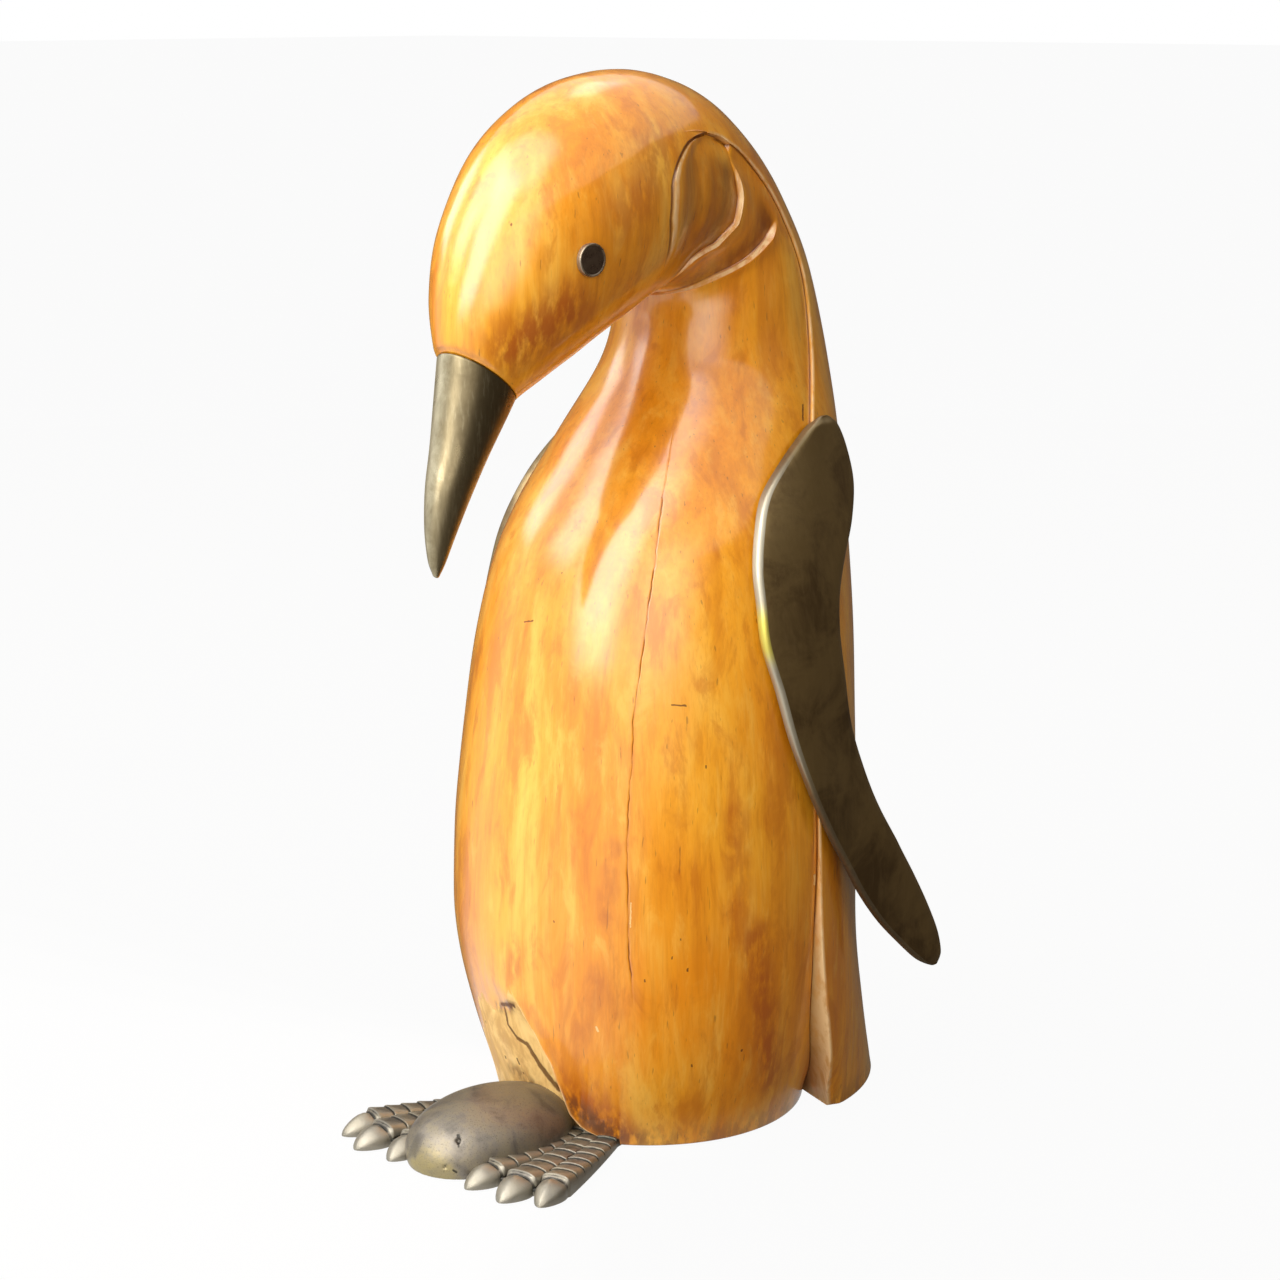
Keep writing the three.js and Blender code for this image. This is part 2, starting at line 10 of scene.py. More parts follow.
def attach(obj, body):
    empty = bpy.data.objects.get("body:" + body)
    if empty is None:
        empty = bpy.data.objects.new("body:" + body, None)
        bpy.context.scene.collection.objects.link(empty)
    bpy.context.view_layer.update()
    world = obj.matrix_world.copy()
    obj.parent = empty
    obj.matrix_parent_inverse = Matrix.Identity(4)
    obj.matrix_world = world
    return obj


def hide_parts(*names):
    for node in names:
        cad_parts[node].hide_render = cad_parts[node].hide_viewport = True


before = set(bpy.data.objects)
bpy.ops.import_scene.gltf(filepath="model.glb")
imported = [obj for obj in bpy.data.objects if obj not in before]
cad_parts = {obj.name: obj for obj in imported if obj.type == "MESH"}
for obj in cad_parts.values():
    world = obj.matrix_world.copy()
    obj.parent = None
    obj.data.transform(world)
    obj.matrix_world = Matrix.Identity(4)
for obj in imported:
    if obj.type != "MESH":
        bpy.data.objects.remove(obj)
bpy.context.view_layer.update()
print("frame loaded:", len(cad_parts), "nodes")


# Small helpers. In node trees a value may be a number, a colour or another node's output.


def mixed(a, b, t):
    return a + (b - a) * t


def soft(v):
    v = np.clip(v, 0, 1)
    return v * v * (3 - 2 * v)


def paint(red, green, blue):
    return tuple(((c / 255 + 0.055) / 1.055) ** 2.4 for c in (red, green, blue)) + (1,)


def placed(name, data):
    thing = bpy.data.objects.new(name, data)
    bpy.context.scene.collection.objects.link(thing)
    return thing


def addNode(tree, kind, **values):
    node = tree.nodes.new(kind)
    for name, value in values.items():
        setattr(node, name, value)
    return node


def put(socket, value):
    if isinstance(value, bpy.types.NodeSocket):
        socket.id_data.links.new(value, socket)
    else:
        socket.default_value = value


def calc(tree, operation, *values, clamp=False):
    node = addNode(tree, "ShaderNodeMath", operation=operation, use_clamp=clamp)
    for socket, value in zip(node.inputs, values):
        put(socket, value)
    return node.outputs[0]


def highest(tree, *values):
    result = values[0]
    for value in values[1:]:
        result = calc(tree, "MAXIMUM", result, value)
    return result


def times(tree, *values):
    result = values[0]
    for value in values[1:]:
        result = calc(tree, "MULTIPLY", result, value)
    return result


def spread(tree, value, low, high, toLow=0.0, toHigh=1.0):
    node = addNode(tree, "ShaderNodeMapRange", interpolation_type="SMOOTHSTEP")
    names = ("Value", "From Min", "From Max", "To Min", "To Max")
    for name, given in zip(names, (value, low, high, toLow, toHigh)):
        put(node.inputs[name], given)
    return node.outputs["Result"]


def tinted(tree, share, a, b):
    node = addNode(tree, "ShaderNodeMix", data_type="RGBA")
    for socket, value in zip((node.inputs[0], node.inputs[6], node.inputs[7]), (share, a, b)):
        put(socket, value)
    return node.outputs[2]


# Tints a colour by parts of a pattern: part, values between which it sets in, share, tone
def tintedBy(tree, color, pattern, tints, tones):
    for part, low, high, share, tone in tints:
        color = tinted(tree, spread(tree, pattern[part], low, high, 0, share), color, tones[tone])
    return color


def parted(tree, place):
    node = addNode(tree, "ShaderNodeSeparateXYZ")
    put(node.inputs[0], place)
    return node.outputs


def blendedShaders(tree, share, first, second):
    node = addNode(tree, "ShaderNodeMixShader")
    for socket, value in zip(node.inputs, (share, first, second)):
        put(socket, value)
    return node.outputs[0]


def cloud(tree, where, scale, detail=3.0, rough=0.55, warp=0.0):
    node = addNode(tree, "ShaderNodeTexNoise")
    names = ("Vector", "Scale", "Detail", "Roughness", "Distortion")
    for name, value in zip(names, (where, scale, detail, rough, warp)):
        put(node.inputs[name], value)
    return node.outputs["Fac"]


def stretched(tree, where, scale, move=(0, 0, 0)):
    node = addNode(tree, "ShaderNodeMapping")
    put(node.inputs["Vector"], where)
    node.inputs["Scale"].default_value = scale
    node.inputs["Location"].default_value = move
    return node.outputs[0]


def stored(tree, name):
    return addNode(tree, "ShaderNodeAttribute", attribute_name=name).outputs["Fac"]


def newGroup(name, inputs, outputs, kind="ShaderNodeTree", result="Float"):
    tree = bpy.data.node_groups.new(name, kind)
    for title, sort, value in inputs:
        socket = tree.interface.new_socket(title, in_out="INPUT", socket_type="NodeSocket" + sort)
        if value is not None:
            socket.default_value = value
    for title in outputs:
        tree.interface.new_socket(title, in_out="OUTPUT", socket_type="NodeSocket" + result)
    return tree, addNode(tree, "NodeGroupInput").outputs, addNode(tree, "NodeGroupOutput").inputs


def useGroup(tree, group, values):
    node = addNode(tree, "ShaderNodeGroup", node_tree=group)
    for name, value in values.items():
        put(node.inputs[name], value)
    return node.outputs


def newLook(name):
    look = bpy.data.materials.new(name)
    look.use_nodes = True
    tree = look.node_tree
    where = addNode(tree, "ShaderNodeTexCoord").outputs["Object"]
    return look, tree, tree.nodes["Principled BSDF"].inputs, where


def bumped(tree, shader, height, strength, distance):
    node = addNode(tree, "ShaderNodeBump")
    put(node.inputs["Height"], height)
    node.inputs["Strength"].default_value = strength
    node.inputs["Distance"].default_value = distance
    put(shader["Normal"], node.outputs[0])


# Camera, lamps, screen and floor

view = {
    "azimuth": 41,
    "elevation": 11.6,
    "distance": 1.4,
    "target": (0, 0, 0.25),
    "lens": 81.7,
    "sensor": 36,
    "shiftY": -0.0352,
    "nearest": 0.05,
    "farthest": 60,
}


def direction(azimuth, elevation):
    a, e = math.radians(azimuth), math.radians(elevation)
    return Vector((math.sin(a) * math.cos(e), -math.cos(a) * math.cos(e), math.sin(e)))


def placeCamera():
    data = bpy.data.cameras.new("camera")
    data.lens = view["lens"]
    data.sensor_width = view["sensor"]
    data.shift_y = view["shiftY"]
    data.clip_start = view["nearest"]
    data.clip_end = view["farthest"]
    camera = placed("camera", data)
    back = direction(view["azimuth"], view["elevation"])
    camera.location = Vector(view["target"]) + back * view["distance"]
    camera.rotation_euler = back.to_track_quat("Z", "Y").to_euler()
    bpy.context.scene.camera = camera


lampTarget = (0, 0, 0.26)
# name, azimuth, elevation, distance, width, height, brightness of its face, warmth.
# Those with Fill in their name don't show in reflections.
lamps = [
    ("tallWindow", -4, 32, 1.75, 1.3, 2.1, 6.5, (1.0, 0.97, 0.93)),
    ("skylight", -42, 42, 1.7, 1.0, 1.5, 4.4, (1.0, 0.98, 0.95)),
    ("overhead", 4, 66, 1.7, 2.0, 1.2, 3.2, (1.0, 0.98, 0.95)),
    ("sideWindow", -82, 27, 1.7, 0.75, 0.85, 3.6, (1.0, 0.98, 0.95)),
    ("roomLight", 38, 22, 2.0, 2.4, 2.2, 2.8, (1.0, 0.95, 0.88)),
    ("crownLight", -147, 60, 1.9, 0.7, 0.9, 2.2, (1.0, 0.98, 0.95)),
    ("frontFill", 24, 8, 2.0, 1.0, 1.0, 2.2, (1.0, 0.96, 0.9)),
    ("sideFill", 112, 26, 2.0, 1.4, 1.3, 1.9, (1.0, 0.95, 0.88)),
    ("backFill", 238, 34, 2.0, 1.2, 1.0, 1.6, (1.0, 0.96, 0.9)),
]
# share of a lamp's width and of its height over which it darkens
feather = {"X": 0.34, "Y": 0.28}
softer = {"roomLight": {"X": 0.49, "Y": 0.44}}


# The face of a lamp darkens smoothly towards its edges
def featherEdges(data, shares):
    data.use_nodes = True
    tree = data.node_tree
    glow = next(node for node in tree.nodes if node.type == "EMISSION")
    face = parted(tree, addNode(tree, "ShaderNodeNewGeometry").outputs["Parametric"])
    sides = [
        spread(tree, calc(tree, "PINGPONG", face[side], 0.5), 0, share)
        for side, share in shares.items()
    ]
    put(glow.inputs["Strength"], times(tree, *sides))


def placeLamps():
    for name, azimuth, elevation, distance, width, height, face, tint in lamps:
        data = bpy.data.lights.new(name, "AREA")
        data.shape = "RECTANGLE"
        data.size = width
        data.size_y = height
        data.energy = face * math.pi * width * height
        data.color = tint
        featherEdges(data, softer.get(name, feather))
        lamp = placed(name, data)
        lamp.visible_glossy = "Fill" not in name
        way = direction(azimuth, elevation)
        lamp.location = Vector(lampTarget) + way * distance
        lamp.rotation_euler = way.to_track_quat("Z", "Y").to_euler()


# A dark studio screen beyond the shaded side, which fades in over its first degrees and
# over the floor next to the object
screen = {
    "from": 14,
    "to": 292,
    "fade": 28,
    "steps": 48,
    "lines": [(0.05, 0), (0.1, 0), (2.4, 0), (2.4, 1.9)],  # radius and height, outwards
    "sink": 0.0003,
    "color": (0.13, 0.105, 0.078, 1),
}


def placeScreen():
    points, faces, shares = [], [], []
    turn = screen["to"] - screen["from"]
    for n in range(screen["steps"] + 1):
        angle = turn * n / screen["steps"]
        way = direction(screen["from"] + angle, 0)
        for radius, height in screen["lines"]:
            points.append((way.x * radius, way.y * radius, height - screen["sink"]))
        side = soft(min(angle, turn - angle) / screen["fade"])
        shares += [0, side, side, side]
        if n:
            faces += [(4 * n + k - 4, 4 * n + k, 4 * n + k + 1, 4 * n + k - 3) for k in range(3)]
    mesh = bpy.data.meshes.new("darkScreen")
    mesh.from_pydata(points, [], faces)
    mesh.attributes.new("cover", "FLOAT", "POINT").data.foreach_set("value", shares)
    look, tree, _, _ = newLook("faintlyGlowingFelt")
    # the felt is no lamp but glows faintly, painted light that stands in for a dim room in
    # reflections
    felt = addNode(tree, "ShaderNodeEmission")
    felt.inputs["Color"].default_value = screen["color"]
    clear = addNode(tree, "ShaderNodeBsdfTransparent")
    both = blendedShaders(tree, stored(tree, "cover"), clear.outputs[0], felt.outputs[0])
    put(tree.nodes["Material Output"].inputs["Surface"], both)
    mesh.materials.append(look)
    card = placed("darkScreen", mesh)
    card.visible_camera = False
    card.visible_shadow = False


# The world is a faint warm fill, and plain white where the camera, metal or lacquer sees it.
# The floor keeps a little of its own shade there, for the object's shadow.
studio = {
    "fillColor": (1, 0.94, 0.86, 1),
    "fillStrength": 0.12,
    "white": (1, 1, 1, 1),
    "floorColor": (0.62, 0.615, 0.605, 1),
    "floorRoughness": 0.9,
    "floorWhite": 0.95,
    "floorHalf": 30,
    "floorSink": 0.0006,
}


def seenDirectly(tree):
    path = addNode(tree, "ShaderNodeLightPath").outputs
    return highest(tree, path["Is Camera Ray"], path["Is Glossy Ray"], path["Is Transmission Ray"])


def placeWorld():
    world = bpy.data.worlds.new("studio")
    bpy.context.scene.world = world
    world.use_nodes = True
    tree = world.node_tree
    tree.nodes.clear()
    fills = []
    for color, strength in ((studio["fillColor"], studio["fillStrength"]), (studio["white"], 1)):
        fill = addNode(tree, "ShaderNodeBackground")
        fill.inputs["Color"].default_value = color
        fill.inputs["Strength"].default_value = strength
        fills.append(fill.outputs[0])
    result = addNode(tree, "ShaderNodeOutputWorld")
    put(result.inputs["Surface"], blendedShaders(tree, seenDirectly(tree), *fills))


def placeFloor():
    mesh = bpy.data.meshes.new("floor")
    r = studio["floorHalf"]
    mesh.from_pydata([(-r, -r, 0), (r, -r, 0), (r, r, 0), (-r, r, 0)], [], [(0, 1, 2, 3)])
    floor = placed("floor", mesh)
    floor.location.z = -studio["floorSink"]
    look, tree, shader, _ = newLook("paleFloor")
    shader["Base Color"].default_value = studio["floorColor"]
    shader["Roughness"].default_value = studio["floorRoughness"]
    glow = addNode(tree, "ShaderNodeEmission")
    glow.inputs["Color"].default_value = studio["white"]
    share = times(tree, seenDirectly(tree), studio["floorWhite"])
    both = blendedShaders(tree, share, tree.nodes["Principled BSDF"].outputs[0], glow.outputs[0])
    put(tree.nodes["Material Output"].inputs["Surface"], both)
    mesh.materials.append(look)


bpy.context.scene.view_settings.view_transform = "Standard"
placeCamera()
placeLamps()
placeScreen()
placeWorld()
placeFloor()
print("camera, lamps and floor are in place")


# Effects that several materials share


def grainGroup():
    tree, given, result = newGroup(
        "woodGrain",
        [("Place", "Vector", None), ("Streak Scale", "Float", 60.0)],
        ("Streaks", "Fine", "Hairs", "Blotches", "Clouds", "Pores"),
    )
    place, scale = given["Place"], given["Streak Scale"]
    fineScale = times(tree, scale, 4.3)
    put(result["Streaks"], cloud(tree, stretched(tree, place, (1, 1, 0.1)), scale, 5, 0.62, 0.5))
    wavy = stretched(tree, place, (1, 1, 0.12), (0.3, 0.1, 0.7))
    put(result["Fine"], cloud(tree, wavy, fineScale, 4, 0.65, 0.2))
    put(result["Hairs"], cloud(tree, stretched(tree, place, (1, 1, 0.03)), 950, 3, 0.6))
    put(result["Blotches"], cloud(tree, stretched(tree, place, (1, 1, 0.45)), 15, 3, 0.5, 0.4))
    aside = stretched(tree, place, (1, 1, 0.3), (4, 2, 1))
    put(result["Clouds"], cloud(tree, aside, 70, 5, 0.65, 0.6))
    pores = cloud(tree, stretched(tree, place, (1, 1, 0.1), (2, 0, 0)), 700, 2, 0.4)
    put(result["Pores"], spread(tree, pores, 0.69, 0.76))
    return tree


def patinaGroup():
    tree, given, result = newGroup(
        "castPatina",
        [("Place", "Vector", None), ("Blotch Scale", "Float", 60.0), ("Relief", "Float", 0.0)],
        ("Blotches", "Clouds", "Speckle", "Worn", "Hollow"),
    )
    clouds = cloud(tree, given["Place"], given["Blotch Scale"], 5, 0.6, 0.5)
    fine = cloud(tree, given["Place"], times(tree, given["Blotch Scale"], 6), 4, 0.6)
    blotches = calc(tree, "ADD", times(tree, clouds, 0.7), times(tree, fine, 0.3))
    put(result["Clouds"], clouds)
    put(result["Blotches"], spread(tree, blotches, 0.42, 0.6))
    aside = stretched(tree, given["Place"], (1, 1, 1), (3, 1, 0))
    put(result["Speckle"], cloud(tree, aside, 1500, 2, 0.5))
    shaken = calc(tree, "ADD", given["Relief"], times(tree, calc(tree, "SUBTRACT", fine, 0.5), 0.5))
    put(result["Worn"], spread(tree, shaken, 0.12, 0.45))
    put(result["Hollow"], spread(tree, times(tree, shaken, -1), 0.1, 0.5))
    return tree


# A stroke along a line between two points, such as a nick, a crack or a stain
def strokeGroup():
    tree, given, result = newGroup(
        "strokeMark",
        [("Place", "Vector", None), ("Start", "Vector", None), ("End", "Vector", None),
         ("Width", "Float", 0.0005), ("Softness", "Float", 0.5), ("Wobble", "Float", 0.0003)],
        ("Mark",),
    )

    def reckon(operation, *values):
        node = addNode(tree, "ShaderNodeVectorMath", operation=operation)
        for socket, value in zip(node.inputs, values):
            put(socket, value)
        return node.outputs["Value" if operation in ("DOT_PRODUCT", "LENGTH") else "Vector"]

    def scaled(vector, scale):
        node = addNode(tree, "ShaderNodeVectorMath", operation="SCALE")
        put(node.inputs[0], vector)
        put(node.inputs["Scale"], scale)
        return node.outputs[0]

    shake = addNode(tree, "ShaderNodeTexNoise")
    put(shake.inputs["Vector"], given["Place"])
    shake.inputs["Scale"].default_value = 420
    offset = reckon("SUBTRACT", shake.outputs["Color"], (0.5, 0.5, 0.5))
    place = reckon("ADD", given["Place"], scaled(offset, times(tree, given["Wobble"], 4)))
    fromStart = reckon("SUBTRACT", place, given["Start"])
    whole = reckon("SUBTRACT", given["End"], given["Start"])
    square = calc(tree, "MAXIMUM", reckon("DOT_PRODUCT", whole, whole), 1e-9)
    share = calc(tree, "DIVIDE", reckon("DOT_PRODUCT", fromStart, whole), square, clamp=True)
    away = reckon("LENGTH", reckon("SUBTRACT", fromStart, scaled(whole, share)))
    inner = times(tree, given["Width"], calc(tree, "SUBTRACT", 1, given["Softness"]))
    put(result["Mark"], spread(tree, away, inner, given["Width"], 1.0, 0.0))
    return tree


grain, patina, stroke = grainGroup(), patinaGroup(), strokeGroup()


def marked(tree, where, start, end, width, softness=0.5, wobble=0.3):
    values = {
        "Place": where,
        "Start": tuple(v / 1000 for v in start),
        "End": tuple(v / 1000 for v in end),
        "Width": width / 1000,
        "Softness": softness,
        "Wobble": wobble / 1000,
    }
    return useGroup(tree, stroke, values)["Mark"]


# Each stroke is joined to the ones before it at once, which keeps the material small
def allMarked(tree, where, strokes):
    total = 0
    for values in strokes:
        total = calc(tree, "MAXIMUM", total, marked(tree, where, *values))
    return total


wood = {
    "base": paint(240, 166, 36),
    "light": paint(252, 202, 90),
    "dark": paint(196, 108, 6),
    # dirt with painted shade, for hollows, grooves and the feet of walls
    "dirtAndShade": paint(112, 54, 6),
    # worn lacquer with painted highlight, for carved edges and the cloak's rim
    "rim": paint(250, 214, 160),
    "strip": paint(206, 160, 98),
    "bare": paint(248, 214, 144),
    "agedBare": paint(212, 172, 108),
    # for darker patches round the knot, along the ground and in the lowest 16 mm
    "darkZone": paint(104, 62, 34),
    "crackLine": paint(122, 66, 22),
    "stainAndShade": paint(178, 88, 16),
    "orange": paint(232, 142, 12),
    "pore": paint(92, 52, 20),
    "roughness": (0.3, 0.5),
    "coat": 1.0,
    "coatDensity": 1.62,
    "coatRoughness": 0.13,
    "specular": 0.3,
    "relief": (0.35, 0.0006),  # strength and depth in metres
    "streakScale": 42.0,
    # part of the grain, values between which it sets in, share, tone
    "tints": [
        ("Streaks", 0.45, 0.75, 0.6, "light"),
        ("Streaks", 0.5, 0.28, 0.6, "dark"),
        ("Fine", 0.5, 0.32, 0.3, "dark"),
        ("Fine", 0.52, 0.75, 0.22, "light"),
        ("Hairs", 0.5, 0.36, 0.16, "dark"),
        ("Clouds", 0.5, 0.68, 0.6, "dark"),
        ("Clouds", 0.46, 0.3, 0.3, "light"),
    ],
    # start, end and half width in mm: cuts that show fresh wood
    "freshCuts": [
        ((55.8, -70.5, 123.7), (55.8, -71.2, 112.3), 0.45),
        ((41.3, -78.7, 62.3), (42.1, -78.2, 60.4), 0.7),
        ((97.7, 13.7, 125.5), (97.6, 13.8, 121.5), 1.2),
    ],
    # scratches, and the crack that runs down the bare wood
    "deepCuts": [
        ((-11.3, -69.6, 246.4), (-5.5, -69.6, 247.7), 0.55),
        ((64, -51.3, 215.2), (68.5, -46.8, 214.7), 0.5),
        ((59.3, 49.8, 342.4), (61.9, 46.6, 335.8), 0.8),
        ((-13, -83, 61), (-13.5, -81, 51), 0.9),
        ((-13.5, -81, 51), (-8, -80, 45), 1.1),
        ((-8, -80, 45), (-2, -80, 43.5), 1.5),
        ((-2, -80, 43.5), (3.7, -76.9, 33.3), 1.9),
        ((3.7, -76.9, 33.3), (12, -73.3, 22), 2.3),
    ],
    "darkNicks": [
        ((73.5, -55.7, 106.5), (73.5, -55.7, 106), 0.5),
        ((75.6, -53.2, 91.8), (75.6, -53.2, 91), 0.6),
        ((70.7, -58.8, 97.9), (70.7, -58.8, 97), 0.45),
        ((61.4, -67.1, 86.9), (61.4, -67.1, 86), 0.5),
        ((21.7, -85.9, 111.5), (21.7, -85.9, 111), 0.6),
        ((74.5, -48.6, 43.3), (74.5, -48.6, 42.6), 0.7),
        ((86.6, -26.5, 47.4), (86.6, -26.5, 46.8), 0.7),
        ((27.1, -20.6, 327.6), (27.1, -20.6, 327), 0.6),
        ((6.3, -62.3, 270.9), (6.3, -62.3, 270), 0.6),
        ((77, -42.4, 186.9), (77, -42.4, 186), 0.6),
        ((21.2, -110.2, 435.2), (21.2, -110.2, 434.6), 0.6),
        ((-15, -83, 61.5), (-9, -85, 63.5), 1.5),
        ((-6, -86, 64.5), (-4, -86.5, 64), 1.3),
        ((-23.8, -72.2, 29.7), (-23.8, -72.2, 29), 0.9),
        ((-12, -74.9, 29.8), (-12.6, -75.6, 32.4), 0.9),
        ((-10.5, -73.7, 25.3), (-10.5, -73.7, 25), 0.7),
        ((-38, -71, 44), (-38, -71, 43), 0.8),
        ((-31, -74, 52), (-31, -74, 51), 0.7),
    ],
    # start, end, half width, strength: dark patches round the knot and along the ground
    "darkStrokes": [
        ((-18, -83, 59), (-3, -86.7, 64.4), 4.5, 1.0),
        ((-20, -73, 24), (-2, -75, 20), 7, 0.6),
        ((10, -74, 26), (22, -72, 12), 4, 0.8),
        ((22, -78, 20), (42, -68, 5), 11, 0.9),
        ((46, -66, 4), (60, -56, 3), 7, 0.6),
    ],
    # start, end, half width, strength: darker wood, as on the left flank, and painted shade with
    # stain round the eyes
    "stainsAndShade": [
        ((-0.8, -88.8, 92), (-3, -88, 80), 9, 0.6),
        ((26, -78, 24), (44, -68, 8), 17, 0.9),
        ((49, -74, 150), (46, -77, 118), 8, 0.5),
        ((41, -80, 92), (52, -74, 70), 7, 0.3),
        ((20, -87, 150), (21, -87, 128), 6, 0.25),
        ((8, -88, 66), (30, -80, 22), 4, 0.45),
        # painted shade, with stain, round each eye
        ((42, -81, 419), (42.1, -81, 419), 10.5, 0.85),
        ((-42, -81, 419), (-42.1, -81, 419), 10.5, 0.85),
        ((36, -90, 398), (24, -112, 382), 21, 0.9),
        ((46, -60, 436), (43, -36, 464), 20, 0.6),
        ((90, -24, 104), (90, -8, 28), 14, 0.8),
        ((88, -33, 165), (89, -31, 108), 10, 0.5),
    ],
}


def woodLook():
    look, tree, shader, where = newLook("carvedWood")
    grains = useGroup(tree, grain, {"Place": where, "Streak Scale": wood["streakScale"]})
    color = tinted(tree, spread(tree, grains["Blotches"], 0.3, 0.7), wood["base"], wood["orange"])
    color = tintedBy(tree, color, grains, wood["tints"], wood)
    color = tinted(tree, times(tree, grains["Pores"], 0.4), color, wood["pore"])

    broken = cloud(tree, stretched(tree, where, (1, 1, 0.35)), 230, 4, 0.6)
    # stains, and painted shade round the eyes
    stainsAndShade = times(tree, stored(tree, "stainAndShade"), spread(tree, broken, 0.25, 0.6))
    color = tinted(tree, stainsAndShade, color, wood["stainAndShade"])
    halo = spread(tree, stored(tree, "crackHalo"), 0.1, 1.0, 0, 0.75)
    color = tinted(tree, times(tree, halo, broken), color, wood["stainAndShade"])
    # painted shade with dirt in hollows, grooves and at the feet of walls
    dirtAndShade = times(tree, stored(tree, "dirtAndShade"), spread(tree, broken, 0.2, 0.75, 0.55, 1))
    color = tinted(tree, dirtAndShade, color, wood["dirtAndShade"])
    strip = times(tree, stored(tree, "strip"), spread(tree, broken, 0.3, 0.6, 0.6, 1))
    color = tinted(tree, strip, color, wood["strip"])
    bare = stored(tree, "bare")
    uneven = calc(tree, "ADD", bare, times(tree, calc(tree, "SUBTRACT", broken, 0.5), 1.6))
    held = calc(tree, "MINIMUM", times(tree, bare, 3), 1)
    bare = times(tree, spread(tree, uneven, 0.45, 0.75), held)
    aged = tinted(tree, spread(tree, grains["Clouds"], 0.42, 0.62), wood["bare"], wood["agedBare"])
    color = tinted(tree, times(tree, bare, 0.88), color, aged)
    # darker patches, and darker towards the bottom
    darkZone = times(tree, stored(tree, "darkZone"), spread(tree, broken, 0.36, 0.58))
    color = tinted(tree, darkZone, color, wood["darkZone"])
    # light rims: worn lacquer with painted highlight
    wornAndLit = times(tree, stored(tree, "rim"), spread(tree, broken, 0.32, 0.6, 0.3, 1))
    color = tinted(tree, wornAndLit, color, wood["rim"])
    fresh = allMarked(tree, where, wood["freshCuts"])
    color = tinted(tree, times(tree, fresh, 0.8), color, wood["bare"])
    deep = allMarked(tree, where, wood["deepCuts"])
    nicks = calc(tree, "MAXIMUM", deep, allMarked(tree, where, wood["darkNicks"]))
    color = tinted(tree, times(tree, nicks, 0.85), color, wood["pore"])
    crack = stored(tree, "crackLine")
    color = tinted(tree, spread(tree, crack, 0.25, 0.8, 0, 0.75), color, wood["crackLine"])
    put(shader["Base Color"], color)

    dull = highest(tree, bare, strip, times(tree, wornAndLit, 0.6), times(tree, nicks, 0.8))
    rough = spread(tree, grains["Fine"], 0.3, 0.7, *wood["roughness"])
    put(shader["Roughness"], calc(tree, "ADD", rough, times(tree, dull, 0.18)))
    glossy = calc(tree, "SUBTRACT", 1, dull, clamp=True)
    put(shader["Coat Weight"], times(tree, glossy, wood["coat"]))
    shader["Coat Roughness"].default_value = wood["coatRoughness"]
    shader["Coat IOR"].default_value = wood["coatDensity"]
    shader["Specular IOR Level"].default_value = wood["specular"]
    hairs = times(tree, grains["Hairs"], 0.25)
    height = calc(tree, "ADD", times(tree, grains["Fine"], 0.35), hairs)
    for mark, depth in ((grains["Pores"], 0.4), (deep, 1.6), (fresh, 1.0)):
        height = calc(tree, "SUBTRACT", height, times(tree, mark, depth))
    height = calc(tree, "ADD", height, times(tree, broken, calc(tree, "ADD", bare, strip), 0.6))
    bumped(tree, shader, height, *wood["relief"])
    return look


